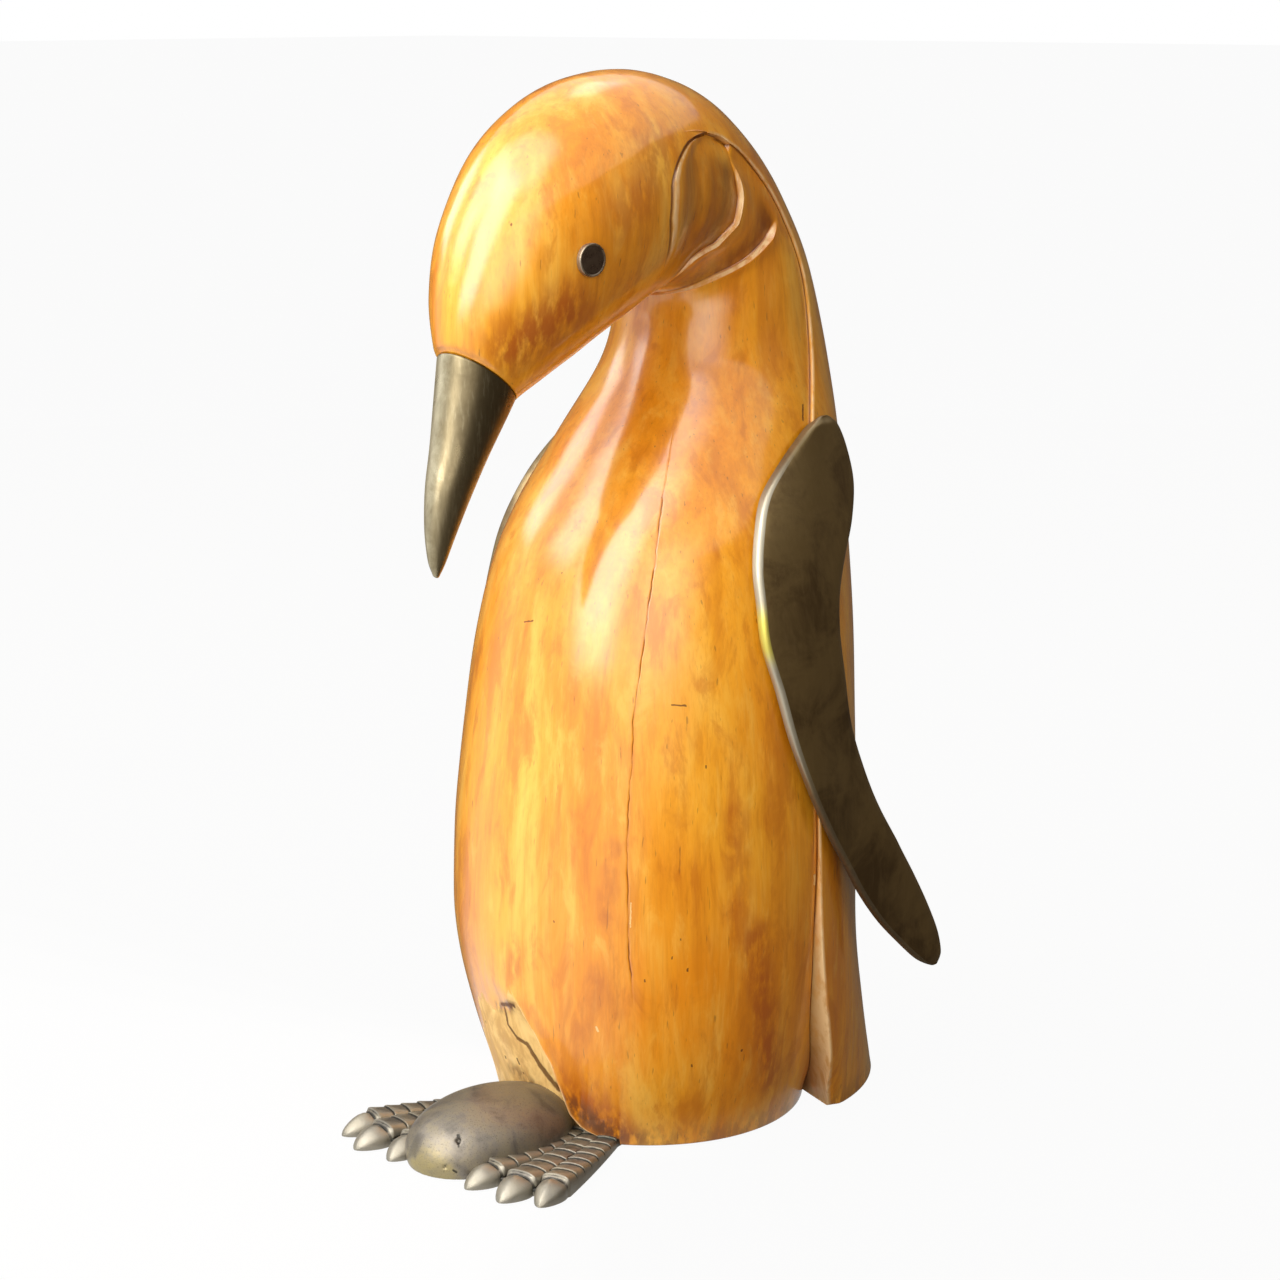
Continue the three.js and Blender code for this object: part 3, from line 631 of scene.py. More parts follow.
brass = {
    "beak": {
        "light": paint(222, 212, 180),
        "middle": paint(132, 120, 92),
        "dark": paint(66, 54, 34),
        "metallic": 0.85,
        "roughness": (0.24, 0.4),
        "blotchScale": 55.0,
        "relief": (0.18, 0.0003),  # strength and depth in metres
        # painted light and shade across the beak, light on the bird's right and dark on its left,
        # and fine lines of the file along it
        "tints": [
            ("across", 0, 0.5, 1, "middle"),
            ("across", 0.5, 1, 0.75, "dark"),
        ],
        "lineTints": [
            ("lines", 0.5, 0.8, 0.16, "light"),
            ("lines", 0.5, 0.25, 0.2, "dark"),
        ],
    },
    "flipper": {
        "plate": paint(136, 114, 74),
        "dark": paint(94, 74, 44),
        "warm": paint(162, 138, 98),
        "edge": paint(186, 180, 162),
        "gold": paint(222, 210, 100),
        "metallic": 0.8,
        "roughness": (0.3, 0.48),
        "blotchScale": 34.0,
        "relief": (0.25, 0.0004),
        # heights in metres between which the worn front edge, lightened as painted highlight, and
        # its golden part set in, and between which they end
        "wornAndLitFrom": (0.165, 0.2),
        "wornAndLitTo": (0.326, 0.3),
        "goldFrom": (0.228, 0.24),
        "goldTo": (0.262, 0.25),
    },
    "foot": {
        "metal": paint(128, 121, 111),
        "dark": paint(36, 34, 30),
        "root": paint(52, 58, 52),
        "shade": paint(42, 44, 40),
        "gold": paint(178, 162, 104),
        "bright": paint(182, 176, 160),
        "metallic": 0.62,
        "roughness": (0.34, 0.5),
        "blotchScale": 75.0,
        "relief": (0.3, 0.0004),
        # start, end, half width in mm: casting holes, dark roots of the toes and the worn
        # yellow zone of the egg
        "holes": [
            ((10.1, -139.3, 19.2), (12.8, -141.5, 14.8), 1.0),
            ((10, -147.9, 6.6), (10, -148.2, 6), 0.7),
            ((13.3, -146.1, 5.2), (14.5, -145.2, 4), 0.8),
            ((16.8, -142, 3), (17.8, -140.2, 1.6), 0.8),
        ],
        "rootZones": [
            ((20, -66, 6), (40, -68, 4), 13, 0.8, 1.5),
            ((-20, -66, 6), (-40, -68, 4), 13, 0.8, 1.5),
        ],
        "goldZone": ((-8, -150, 5), (8, -149, 4), 12),
    },
    "eye": {
        "metal": paint(92, 76, 64),
        "rim": paint(160, 146, 126),
        "metallic": 0.8,
        "roughness": (0.22, 0.4),
        "blotchScale": 160.0,
        "relief": (0.2, 0.0003),
    },
    "steel": {
        "metal": paint(176, 176, 172),
        "dark": paint(96, 94, 90),
        "metallic": 1,
        "roughness": (0.28, 0.45),
        "blotchScale": 120.0,
        "relief": (0.15, 0.0002),
    },
}


# What all the brass and steel have in common: patina, polish and a fine relief
def castPattern(tree, where, values, **more):
    given = {"Place": where, "Blotch Scale": values["blotchScale"]}
    return useGroup(tree, patina, given | more)


def finishMetal(tree, shader, values, cast, color, height):
    put(shader["Base Color"], color)
    shader["Metallic"].default_value = values["metallic"]
    put(shader["Roughness"], spread(tree, cast["Clouds"], 0.3, 0.7, *values["roughness"]))
    bumped(tree, shader, height, *values["relief"])


def beakLook():
    values = brass["beak"]
    look, tree, shader, where = newLook("beakBrass")
    cast = castPattern(tree, where, values)
    lines = cloud(tree, stretched(tree, where, (1, 1, 0.16), (1, 0, 0)), 620, 3, 0.6)
    sway = times(tree, calc(tree, "SUBTRACT", cast["Clouds"], 0.5), 0.02)
    # painted light and shade across the beak: light on the bird's right, dark on its left
    across = spread(tree, calc(tree, "ADD", parted(tree, where)["X"], sway), -0.012, 0.022)
    pattern = {"across": across, "lines": lines}
    color = tintedBy(tree, values["light"], pattern, values["tints"], values)
    color = tinted(tree, times(tree, cast["Blotches"], 0.12), color, values["middle"])
    color = tintedBy(tree, color, pattern, values["lineTints"], values)
    color = tinted(tree, times(tree, stored(tree, "joint"), 0.85), color, values["dark"])
    height = calc(tree, "ADD", times(tree, lines, 0.5), times(tree, cast["Speckle"], 0.4))
    finishMetal(tree, shader, values, cast, color, height)
    return look


def flipperLook():
    values = brass["flipper"]
    look, tree, shader, where = newLook("flipperBrass")
    cast = castPattern(tree, where, values)
    place = parted(tree, where)
    up = place["Z"]
    brushed = cloud(tree, stretched(tree, where, (1, 1, 0.12)), 520, 3, 0.6)
    color = tinted(tree, spread(tree, cast["Clouds"], 0.4, 0.68), values["plate"], values["dark"])
    color = tinted(tree, spread(tree, brushed, 0.45, 0.8, 0, 0.18), color, values["warm"])
    # the front rim: worn brass with painted highlight, faint on the right flipper
    rim = stored(tree, "frontRim")
    shaken = calc(tree, "ADD", rim, times(tree, calc(tree, "SUBTRACT", cast["Clouds"], 0.5), 0.5))
    rim = times(tree, spread(tree, shaken, 0.35, 0.65), spread(tree, rim, 0.02, 0.25))
    rim = times(tree, rim, spread(tree, up, *values["wornAndLitFrom"], 0.25, 1))
    rim = times(tree, rim, spread(tree, up, *values["wornAndLitTo"], 0.1, 0.9))
    rim = times(tree, rim, spread(tree, place["X"], -0.01, 0.01, 0.08, 1))
    gold = times(tree, *(spread(tree, up, *values[name]) for name in ("goldFrom", "goldTo")))
    color = tinted(tree, rim, color, tinted(tree, gold, values["edge"], values["gold"]))
    height = calc(tree, "ADD", times(tree, cast["Clouds"], 1.2), times(tree, brushed, 0.3))
    height = calc(tree, "ADD", height, times(tree, cast["Speckle"], 0.3))
    finishMetal(tree, shader, values, cast, color, height)
    return look


def footLook():
    values = brass["foot"]
    look, tree, shader, where = newLook("footBrass")
    cast = castPattern(tree, where, values, Relief=stored(tree, "relief"))
    color = tinted(tree, times(tree, cast["Blotches"], 0.16), values["metal"], values["gold"])
    color = tinted(tree, spread(tree, cast["Clouds"], 0.5, 0.3, 0, 0.35), color, values["dark"])
    zone = marked(tree, where, *values["goldZone"], 0.9, 2)
    zone = times(tree, zone, spread(tree, cast["Clouds"], 0.35, 0.6, 0.2, 0.65))
    color = tinted(tree, zone, color, values["gold"])
    color = tinted(tree, spread(tree, cast["Speckle"], 0.56, 0.7, 0, 0.35), color, values["dark"])
    color = tinted(tree, times(tree, cast["Hollow"], 0.9), color, values["dark"])
    color = tinted(tree, times(tree, stored(tree, "shaded"), 0.85), color, values["shade"])
    color = tinted(tree, times(tree, cast["Worn"], 0.45), color, values["bright"])
    roots = spread(tree, cast["Clouds"], 0.65, 0.35, 0.3, 0.9)
    roots = times(tree, allMarked(tree, where, values["rootZones"]), roots)
    color = tinted(tree, roots, color, values["root"])
    holes = allMarked(tree, where, values["holes"])
    color = tinted(tree, times(tree, holes, 0.9), color, values["dark"])
    height = calc(tree, "ADD", cast["Clouds"], times(tree, cast["Speckle"], 0.7))
    finishMetal(tree, shader, values, cast, color, height)
    return look


def eyeLook():
    values = brass["eye"]
    look, tree, shader, where = newLook("eyeBrass")
    cast = castPattern(tree, where, values)
    color = tinted(tree, times(tree, cast["Blotches"], 0.12), values["metal"], values["rim"])
    wornAndLit = times(tree, stored(tree, "rim"), spread(tree, cast["Clouds"], 0.3, 0.55))
    color = tinted(tree, wornAndLit, color, values["rim"])
    finishMetal(tree, shader, values, cast, color, cast["Speckle"])
    return look


def steelLook():
    values = brass["steel"]
    look, tree, shader, where = newLook("plainSteel")
    cast = castPattern(tree, where, values)
    color = tinted(tree, times(tree, cast["Blotches"], 0.5), values["metal"], values["dark"])
    finishMetal(tree, shader, values, cast, color, cast["Speckle"])
    return look


carvedWood, beakBrass, flipperBrass = woodLook(), beakLook(), flipperLook()
footBrass, eyeBrass, plainSteel = footLook(), eyeLook(), steelLook()
print("materials are ready")


# Curves and meshes


def along(table, place):
    rows = np.asarray(table, float)
    last = len(rows) - 1
    s = np.clip(np.asarray(place, float), 0, last)
    i = np.minimum(s.astype(int), last - 1)
    t = (s - i)[..., None]
    b, c = rows[i], rows[i + 1]
    a = np.where((i > 0)[..., None], rows[np.maximum(i - 1, 0)], 2 * b - c)
    d = np.where((i + 2 <= last)[..., None], rows[np.minimum(i + 2, last)], 2 * c - b)
    cubic = (2 * a - 5 * b + 4 * c - d) * t**2 + (3 * b - a - 3 * c + d) * t**3
    return 0.5 * (2 * b + (c - a) * t + cubic)


def lookUp(table, place):
    rows = np.asarray(table, float)
    return np.interp(place, rows[:, 0], rows[:, 1])


def circle(columns):
    return np.linspace(0, 2 * math.pi, columns, endpoint=False)


# A closed skin over a grid of points in mm, each row a ring, with a fan of triangles or one
# flat face at the first end and a fan at the last one
def skinMesh(name, grid, firstCentre=None, lastCentre=None, flatFirst=False):
    rows, columns = grid.shape[:2]
    centres = [
        grid[row].mean(0) if centre is None else np.array(centre, float)
        for row, centre in ((0, firstCentre), (-1, lastCentre))
    ]
    points = np.concatenate([grid.reshape(-1, 3), centres]) / 1000
    if flatFirst:
        points[-2] = points[0]
    j = np.arange(columns)
    k = (j + 1) % columns
    at = np.arange(rows - 1)[:, None] * columns
    sides = np.stack([at + j, at + k, at + columns + k, at + columns + j], -1).reshape(-1, 4)
    centre, top = rows * columns, (rows - 1) * columns
    firstCap = np.stack([np.full(columns, centre), k, j], -1)
    lastCap = np.stack([np.full(columns, centre + 1), top + j, top + k], -1)
    a, b, c, d = (points[sides[:, n]] for n in range(4))
    inward = (a * np.cross(b, c)).sum() + (a * np.cross(c, d)).sum() < 0
    if inward:
        sides, firstCap, lastCap = (faces[:, ::-1] for faces in (sides, firstCap, lastCap))
    firstCap = firstCap.tolist()
    if flatFirst:
        firstCap = [(j if inward else j[::-1]).tolist()]
    mesh = bpy.data.meshes.new(name)
    mesh.from_pydata(points.tolist(), [], sides.tolist() + firstCap + lastCap.tolist())
    mesh.update()
    return mesh


def vertexData(mesh):
    result = []
    for kind in ("co", "normal"):
        values = np.zeros(len(mesh.vertices) * 3)
        mesh.vertices.foreach_get(kind, values)
        result.append(values.reshape(-1, 3))
    return result


# Joins points that lie on each other
def weld(mesh, distance):
    soup = bmesh.new()
    soup.from_mesh(mesh)
    bmesh.ops.remove_doubles(soup, verts=soup.verts, dist=distance)
    bmesh.ops.dissolve_degenerate(soup, edges=soup.edges, dist=distance / 4)
    soup.to_mesh(mesh)
    soup.free()
    mesh.update()


def store(mesh, name, values):
    attribute = mesh.attributes.new(name, "FLOAT", "POINT")
    flat = np.asarray(values, float).reshape(-1)
    full = np.zeros(len(mesh.vertices))
    full[: len(flat)] = flat
    attribute.data.foreach_set("value", full)


def pieceFrom(mesh, name, look, replaced, sharp=42):
    mesh.name = name
    mesh.shade_smooth()
    mesh.set_sharp_from_angle(angle=math.radians(sharp))
    mesh.materials.clear()
    mesh.materials.append(look)
    piece = placed(name, mesh)
    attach(piece, "root")
    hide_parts(*replaced)
    print(name, len(mesh.polygons), "faces")


def mirroredMesh(mesh, name):
    copy = mesh.copy()
    copy.name = name
    co = np.zeros(len(copy.vertices) * 3)
    copy.vertices.foreach_get("co", co)
    co[0::3] *= -1
    copy.vertices.foreach_set("co", co)
    copy.flip_normals()
    copy.update()
    return copy


# Body, carved from one block. Rings lie across the bird, from the underside to the beak.
# Sizes of this and the other pieces are in mm and degrees.

body = {
    "trunkHeight": 280,
    "widest": 0.49,
    # height as a share of the trunk's, y of the front, y of the back, half width
    "trunk": [
        (0, -77, 80, 81),
        (0.14, -86, 92, 90),
        (0.3, -89, 102, 96),
        (0.48, -87, 108, 98),
        (0.66, -81, 108, 95.5),
        (0.84, -73, 110, 90),
    ],
    # y and height of the front point, y and height of the back point, half width
    "head": [
        (-59, 0, 111, 3, 81),
        (-32, 41, 112.5, 50, 66),
        (-4, 78, 110.5, 94, 51),
        (6, 104, 98, 132, 46),
        (7, 114, 79, 165, 43),
        (4, 117, 53, 192, 44),
        (-3, 117, 22, 212, 46),
        (-15, 112, -16, 220, 47),
        (-34, 103, -57, 213.5, 47),
        (-52, 95, -91, 193, 44),
        (-66, 88, -115, 161, 38),
        (-78, 82, -127, 130, 30),
        (-89, 76, -130.5, 106, 21),
        (-93.5, 73, -128.5, 99, 17.7),
    ],
    # edge on the belly and on the cloak in degrees from the back, then how far the cloak
    # stands out at its side and its back, and how far back its middle is
    "cloak": [
        (51, 89, 10, 53, 38),
        (74, 85, 8.5, 28, 17),
        (83, 84.5, 4.5, 9, 4),
        (86, 86.5, 2.3, 1.8, 0),
        (87, 87.2, 2, 1, 0),
        (87, 87.2, 2, 1, 0),
        (86, 86.2, 2, 1, 0),
        (83, 83.2, 1.8, 1.5, 0),
        (74.5, 74.7, 1.6, 1.5, 0),
        (67, 67.2, 1.6, 1.2, 0),
        (64, 64.2, 1.5, 0.8, 0),
        (62, 62.2, 1.2, 0.6, 0),
        (60, 60.2, 0.6, 0.4, 0),
        (60, 60.2, 0, 0, 0),
    ],
    # notch low on the belly: x of its edge at each height
    "notchEdge": [
        (0, 43), (7, 28), (14, 23), (27, 20.5), (40, 17), (54, 9), (62, 3), (73, -5), (100, -3),
        (130, 0),
    ],
    "notchDepth": 9.5,
    # carved lines of the neck: ring at each angle from the back, then how deep they are
    "lowFold": [(60, 10.1), (75, 10.1), (86, 10), (109, 10), (131, 10.1), (180, 10.05)],
    "highFold": [
        (0, 11.6), (60, 11.95), (71, 11.8), (86, 11.4), (101, 11.2), (120, 11.5), (131, 12.2),
        (150, 12.6), (180, 12.7),
    ],
    "earLine": [
        (0, 13.5), (35, 13.2), (60, 12.5), (64, 12.9), (68, 13.1), (75, 13.35), (82, 13.5),
        (98, 13.6), (128, 13.5), (180, 13.5),
    ],
    "patchDepth": 2.6,
    "grooveDepth": 1.9,
    "lipDepth": 0.5,
    "foldDepth": 3.0,
    "foldEdge": 0.03,
    # drying crack: angle at each ring
    "crack": [
        (0, 134), (0.8, 139), (1.4, 142), (1.75, 143), (2.06, 144), (2.35, 145.2), (2.82, 146),
        (3.28, 147), (3.8, 147.2), (4.1, 146.7), (4.46, 147.1), (4.82, 146), (5.19, 145.2),
        (5.58, 144.7), (5.98, 144.2), (6.28, 145), (6.9, 147), (7.33, 149), (8, 150), (19, 147),
    ],
    "crackFrom": 1.7,
    "crackTo": 7.4,
    "crackDepth": 0.45,
    "unevenness": 0.35,
    "lowest": 0.4,
}

# Marks that the points of the wood carry, and the rings at its three carved lines
markNames = ("dirtAndShade", "rim", "bare", "crackLine", "crackHalo", "strip")
lowRing, highRing, earRing = 10.05, 11.3, 13.5
# mm beside the middle of the crack at which columns of points lie
crackSides = np.array([-2.6, -1.2, -0.55, -0.22, 0, 0.22, 0.55, 1.2, 2.6])


def blockRings():
    high = body["trunkHeight"]
    rings = [(front, share * high, back, share * high, half)
             for share, front, back, half in body["trunk"]]
    rings += [(frontY, high + up, backY, high + backUp, half)
              for frontY, up, backY, backUp, half in body["head"]]
    return rings


# Heights in rings at which the block has a row of points, close together at carved lines
def blockRows():
    near = np.array([0.006, 0.018, 0.03, 0.042, 0.06, 0.085, 0.12, 0.16])
    spans = (
        (0.05, 9.3, 176), (9.37, 9.86, 8), (10.24, 11.1, 14), (11.48, 13.3, 28), (13.69, 19, 76),
    )
    rows = [np.array([0, 0.006, 0.014, 0.026])]
    rows += [ring + np.concatenate([-near[::-1], near]) for ring in (lowRing, highRing, earRing)]
    rows += [np.linspace(*span) for span in spans]
    return np.sort(np.concatenate(rows))


# Depth in mm of the carving at each ring g, and at angles that turn from 0 at the back to 180
# in front. Each soft(...) sets in or ends over a span of rings or degrees.
def carving(g, turn):
    patch = body["patchDepth"] * soft((155 - turn) / 45)
    fold = body["foldDepth"] * mixed(0.45, 1, soft((170 - turn) / 40))
    atHigh = soft((turn - 67) / 15) * soft((150 - turn) / 25)
    atLow = soft((turn - 71) / 13)
    edge = body["foldEdge"]
    cut = np.zeros_like(g + turn)
    # between the ear line and the upper fold
    a = earRing - g
    inPatch = (g >= highRing) & (g < earRing + edge)
    atEar = soft((turn - 58) / 10) * soft((135 - turn) / 25)
    step = mixed(patch, body["grooveDepth"], atEar) * soft((a + edge) / (2 * edge))
    lip = mixed(patch, body["lipDepth"], atEar)
    level = mixed(step, lip, soft((a - edge) / 0.06))
    level = np.where(a > 0.17, mixed(lip, patch, soft((a - 0.17) / 0.5)), level)
    swell = 0.55 * soft((turn - 74) / 8) * soft((126 - turn) / 20)
    wave = np.exp(-(((g - 12.42) / 0.16) ** 2)) - 0.8 * np.exp(-(((g - 12.72) / 0.14) ** 2))
    level = level - swell * wave
    deeper = 0.9 * soft((12.2 - g) / 0.8) * atHigh
    cut = np.where(inPatch, level + deeper, cut)
    # between the upper and the lower fold
    t = (highRing - g) / 1.25
    plain = patch * (1 - soft(t)) * soft((turn - 60) / 8)
    ramp = mixed(0.25 * fold, fold, np.clip(t, 0, 1) ** 0.8)
    between = mixed(plain, mixed(plain, ramp, atLow), soft(t * 1.5))
    between = between - 2.1 * atHigh * (1 - soft(t * 2.2))
    between = np.maximum(between, 0)
    cut = np.where((g < highRing) & (g >= lowRing - edge), between, cut)
    # the walls of the folds
    wallHigh = soft((highRing + edge - g) / (2 * edge))
    above = patch + 0.9 * atHigh
    below = np.maximum(patch * soft((turn - 60) / 8) - 2.1 * atHigh, 0)
    cut = np.where(np.abs(g - highRing) <= edge, mixed(above, below, wallHigh), cut)
    wallLow = soft((lowRing + edge - g) / (2 * edge))
    wall = mixed(mixed(0, fold, atLow), 0, wallLow)
    cut = np.where(np.abs(g - lowRing) <= edge, wall, cut)
    # the trunk side of the lower fold swells a little
    bulge = -0.7 * atLow * soft((160 - turn) / 20) * np.exp(-(((g - 9.98) / 0.16) ** 2))
    return np.where(g < lowRing - edge, bulge, cut)


# The ring that a row of points follows at each angle, so that rows run along carved lines
def ringAt(g, turn):
    low, high, ear = (lookUp(body[name], turn) for name in ("lowFold", "highFold", "earLine"))
    first, last = 9.2, 14.5
    ring = np.where(g < first, g, 0)
    spans = [(first, lowRing, first, low), (lowRing, highRing, low, high),
             (highRing, earRing, high, ear), (earRing, last, ear, last)]
    for a, b, fromRing, toRing in spans:
        ring = np.where((g >= a) & (g < b), mixed(fromRing, toRing, (g - a) / (b - a)), ring)
    return np.where(g >= last, g, ring)


def surfacePoint(ring, angle, onCloak, out):
    q = along(blockRings(), ring)
    frontY, frontZ, backY, backZ, half = (q[..., n] for n in range(5))
    c = along(body["cloak"], np.minimum(ring, len(body["cloak"]) - 1))
    side, back, shift = (c[..., n] * onCloak for n in (2, 3, 4))
    span = np.hypot(backY - frontY, backZ - frontZ)
    middle = span * body["widest"] + shift
    behind = span + back - middle
    a = np.radians(angle)
    reach = np.where(np.cos(a) > 0, behind, middle)
    across = middle + np.cos(a) * (reach + out)
    return np.stack([
        np.sin(a) * (half + side + out),
        frontY + (backY - frontY) / span * across,
        frontZ + (backZ - frontZ) / span * across,
    ], -1)


# At each row of points: ring, height of the front, half width, degrees per mm, and the angles
# from the back of the belly's edge, the cloak's edge, the notch's edge and the crack
def blockShape():
    g = blockRows()[:, None]
    edges = along(body["cloak"], np.minimum(g[:, 0], len(body["cloak"]) - 1))
    bellyEdge, cloakEdge = edges[:, :1], edges[:, 1:2]
    q = along(blockRings(), g[:, 0])
    frontZ, half = q[:, 1:2], q[:, 4:5]
    wiggle = 0.1 * np.sin(g * 23) + 0.07 * np.sin(g * 61 + 2)
    return SimpleNamespace(
        g=g,
        frontZ=frontZ,
        half=half,
        degree=180 / math.pi / half,
        bellyEdge=bellyEdge,
        cloakEdge=np.where(g > 13.45, bellyEdge, cloakEdge),
        notchEdge=180 - np.degrees(np.arcsin(lookUp(body["notchEdge"], frontZ) / half)),
        crack=lookUp(body["crack"], g) + wiggle,
    )


# The parts of each row, in turn round the block: angles of the points, or for a wall between
# two parts the shares of its width at which points lie
def blockColumns(block):
    degree, crack = block.degree, block.crack
    rim = np.array([0, 0.35, 0.9, 1.8])
    near = block.notchEdge - degree * rim
    far = crack + degree * 3.8
    leftFront = [near, mixed(near[:, -1:], far, np.linspace(0, 1, 16)[1:])]
    edge = block.bellyEdge + degree * np.array([2.4, 1.3, 0.6, 0.2, 0])
    leftSide = [mixed(crack - degree * 3.8, edge[:, :1], np.linspace(0, 1, 38)[:-1]), edge]
    cloak = block.cloakEdge - degree * np.array([0, 0.4, 0.9, 1.8])
    back = mixed(cloak[:, -1:], -cloak[:, -1:], np.linspace(0, 1, 80)[1:-1])
    last = block.notchEdge - 360 + degree * rim[::-1]
    right = mixed(-edge[:, :1], last[:, :1], np.linspace(0, 1, 68)[1:-1])
    wall = np.array([0.05, 0.2, 0.4, 0.6, 0.8, 0.95])
    return [
        ("left", np.concatenate(leftFront, 1)),
        ("crack", crack - degree * crackSides),
        ("left", np.concatenate(leftSide, 1)),
        ("wallLeft", wall),
        ("cloak", np.concatenate([cloak, back, -cloak[:, ::-1]], 1)),
        ("wallRight", wall),
        ("right", np.concatenate([-edge[:, ::-1], right, last], 1)),
        ("notchWall", np.array([0.06, 0.3, 0.6, 0.94])),
    ]


# The next four give how far a part stands out in mm, and fill in its marks. On the cloak the
# edge is rounded and the lower front corner is worn off.
def cloakRelief(block, angles, marks):
    g = block.g
    toEdge = np.minimum(np.abs(angles - block.cloakEdge), np.abs(angles + block.cloakEdge))
    toEdge = toEdge / block.degree
    rounding = soft((0.9 - toEdge) / 0.9) * soft((13.4 - g) / 0.4)
    corner = soft((7 - toEdge) / 7) ** 1.5 * soft((34 - block.frontZ) / 30)
    # a light rim along the cloak's edge: worn lacquer with painted highlight
    marks["rim"] = soft((1.6 - toEdge) / 1.6) * soft((13.3 - g) / 0.3)
    return -0.45 * rounding - 3.2 * corner


# Carved lines of the neck and the groove along the cloak, with dirt and painted shade in their
# hollows and at the feet of their walls, and worn edges lightened with painted highlight
def bellyRelief(block, angles, turn, marks):
    g = block.g
    cut = carving(g, turn)
    toEdge = np.abs(turn - block.bellyEdge) / block.degree
    groove = soft((1.3 - toEdge) / 1.3) * soft((12.6 - g) / 0.5)
    underLow = soft((g - 10.02) / 0.1) * soft((10.9 - g) / 0.75)
    underHigh = soft((g - 11.28) / 0.1) * soft((earRing - g) / 0.4)
    underHigh = underHigh * (0.55 + 0.45 * soft((12.3 - g) / 0.9))
    shaded = np.maximum(underLow, underHigh) * soft((turn - 66) / 12) * soft((168 - turn) / 20)
    # darker in the groove and in the hollows under the folds: dirt with painted shade
    dirtAndShade = np.maximum(groove * 0.9, 0.85 * shaded * soft(cut / 1.5))
    # light rims along the folds' edges: worn lacquer with painted highlight
    rim = np.zeros_like(angles)
    for ring, strength in (
        (lowRing, soft((turn - 73) / 10) * soft((176 - turn) / 10)),
        (highRing, soft((turn - 69) / 12) * soft((150 - turn) / 20)),
    ):
        rim = np.maximum(rim, strength * ((g - ring > -0.036) & (g - ring < 0.012)))
    a = earRing - g
    # a light edge just inside the ear line: wear with painted highlight
    inner = soft((a - 0.055) / 0.03) * soft((0.19 - a) / 0.05)
    inner = inner * soft((turn - 62) / 8) * soft((132 - turn) / 20)
    # dark lines at the ear line and at the foot of each fold's wall: painted shade with dirt
    line = soft((a + 0.055) / 0.03) * soft((0.075 - a) / 0.03)
    line = line * soft((135 - turn) / 20) * (turn > block.bellyEdge - 1)
    for ring, start, end in ((lowRing, 73, 172), (highRing, 69, 146)):
        hollow = soft((g - ring - 0.015) / 0.015) * soft((ring + 0.11 - g) / 0.06)
        line = np.maximum(line, hollow * soft((turn - start) / 8) * soft((end - turn) / 14))
    marks["rim"] = np.maximum(rim, 0.9 * inner)
    marks["dirtAndShade"] = np.maximum(dirtAndShade * (1 - inner), line)
    return -cut - 0.35 * groove


def crackRelief(g, marks):
    span = soft((g - body["crackFrom"]) / 0.5) * soft((body["crackTo"] - g) / 0.9)
    gape = 0.55 + 0.3 * np.sin(g * 9.1) + 0.25 * np.sin(g * 27 + 1)
    gape = np.clip(gape, 0.15, 1) * span
    profile = np.exp(-((crackSides / 0.22) ** 2))[None, :]
    marks["crackLine"] = span * (0.45 + 0.55 * gape) * profile
    marks["crackHalo"] = span * np.exp(-np.abs(crackSides) / 1.3)[None, :]
    return -body["crackDepth"] * gape * profile


# The notch is cut back on the bird's right, bare wood there, and has a worn edge on its left,
# lightened as painted highlight
def notchRelief(block, kind, angles, turn, marks):
    z = block.frontZ
    x = np.sin(np.radians(angles)) * block.half
    behind = lookUp(body["notchEdge"], z) - x
    if kind != "right":
        # a light edge: wear with painted highlight
        onRim = soft((1.2 - np.abs(behind)) / 1.2) * soft((80 - z) / 20)
        marks["rim"] = np.maximum(marks["rim"], onRim)
        return 0
    top = mixed(76, 62, soft(behind / 20)) - 82 * soft((behind - 44) / 72)
    top = top + 1.8 * np.sin(x * 0.31) + 1.3 * np.sin(x * 0.83)
    marks["bare"] = soft((top - z) / 7)
    depth = body["notchDepth"] * soft((102 - z) / 92)
    return -depth * mixed(1, soft(behind / 25), soft((z - 52) / 20)) * soft((turn - 92) / 30)


def blockPart(block, kind, angles):
    turn = np.abs((angles + 180) % 360 - 180)
    marks = {name: np.zeros_like(angles) for name in markNames}
    if kind == "cloak":
        out = cloakRelief(block, angles, marks)
    else:
        out = bellyRelief(block, angles, turn, marks)
        if kind == "crack":
            out = out + crackRelief(block.g, marks)
        out = out + notchRelief(block, kind, angles, turn, marks)
    # the foot of the block is rounded over
    low = 1 - np.clip(block.frontZ / 1.2, 0, 1)
    out = out - 0.8 * (1 - np.sqrt(np.clip(1 - low**2, 0, 1)))
    onCloak = 1.0 if kind == "cloak" else 0.0
    return surfacePoint(ringAt(block.g, turn), angles, onCloak, out), marks


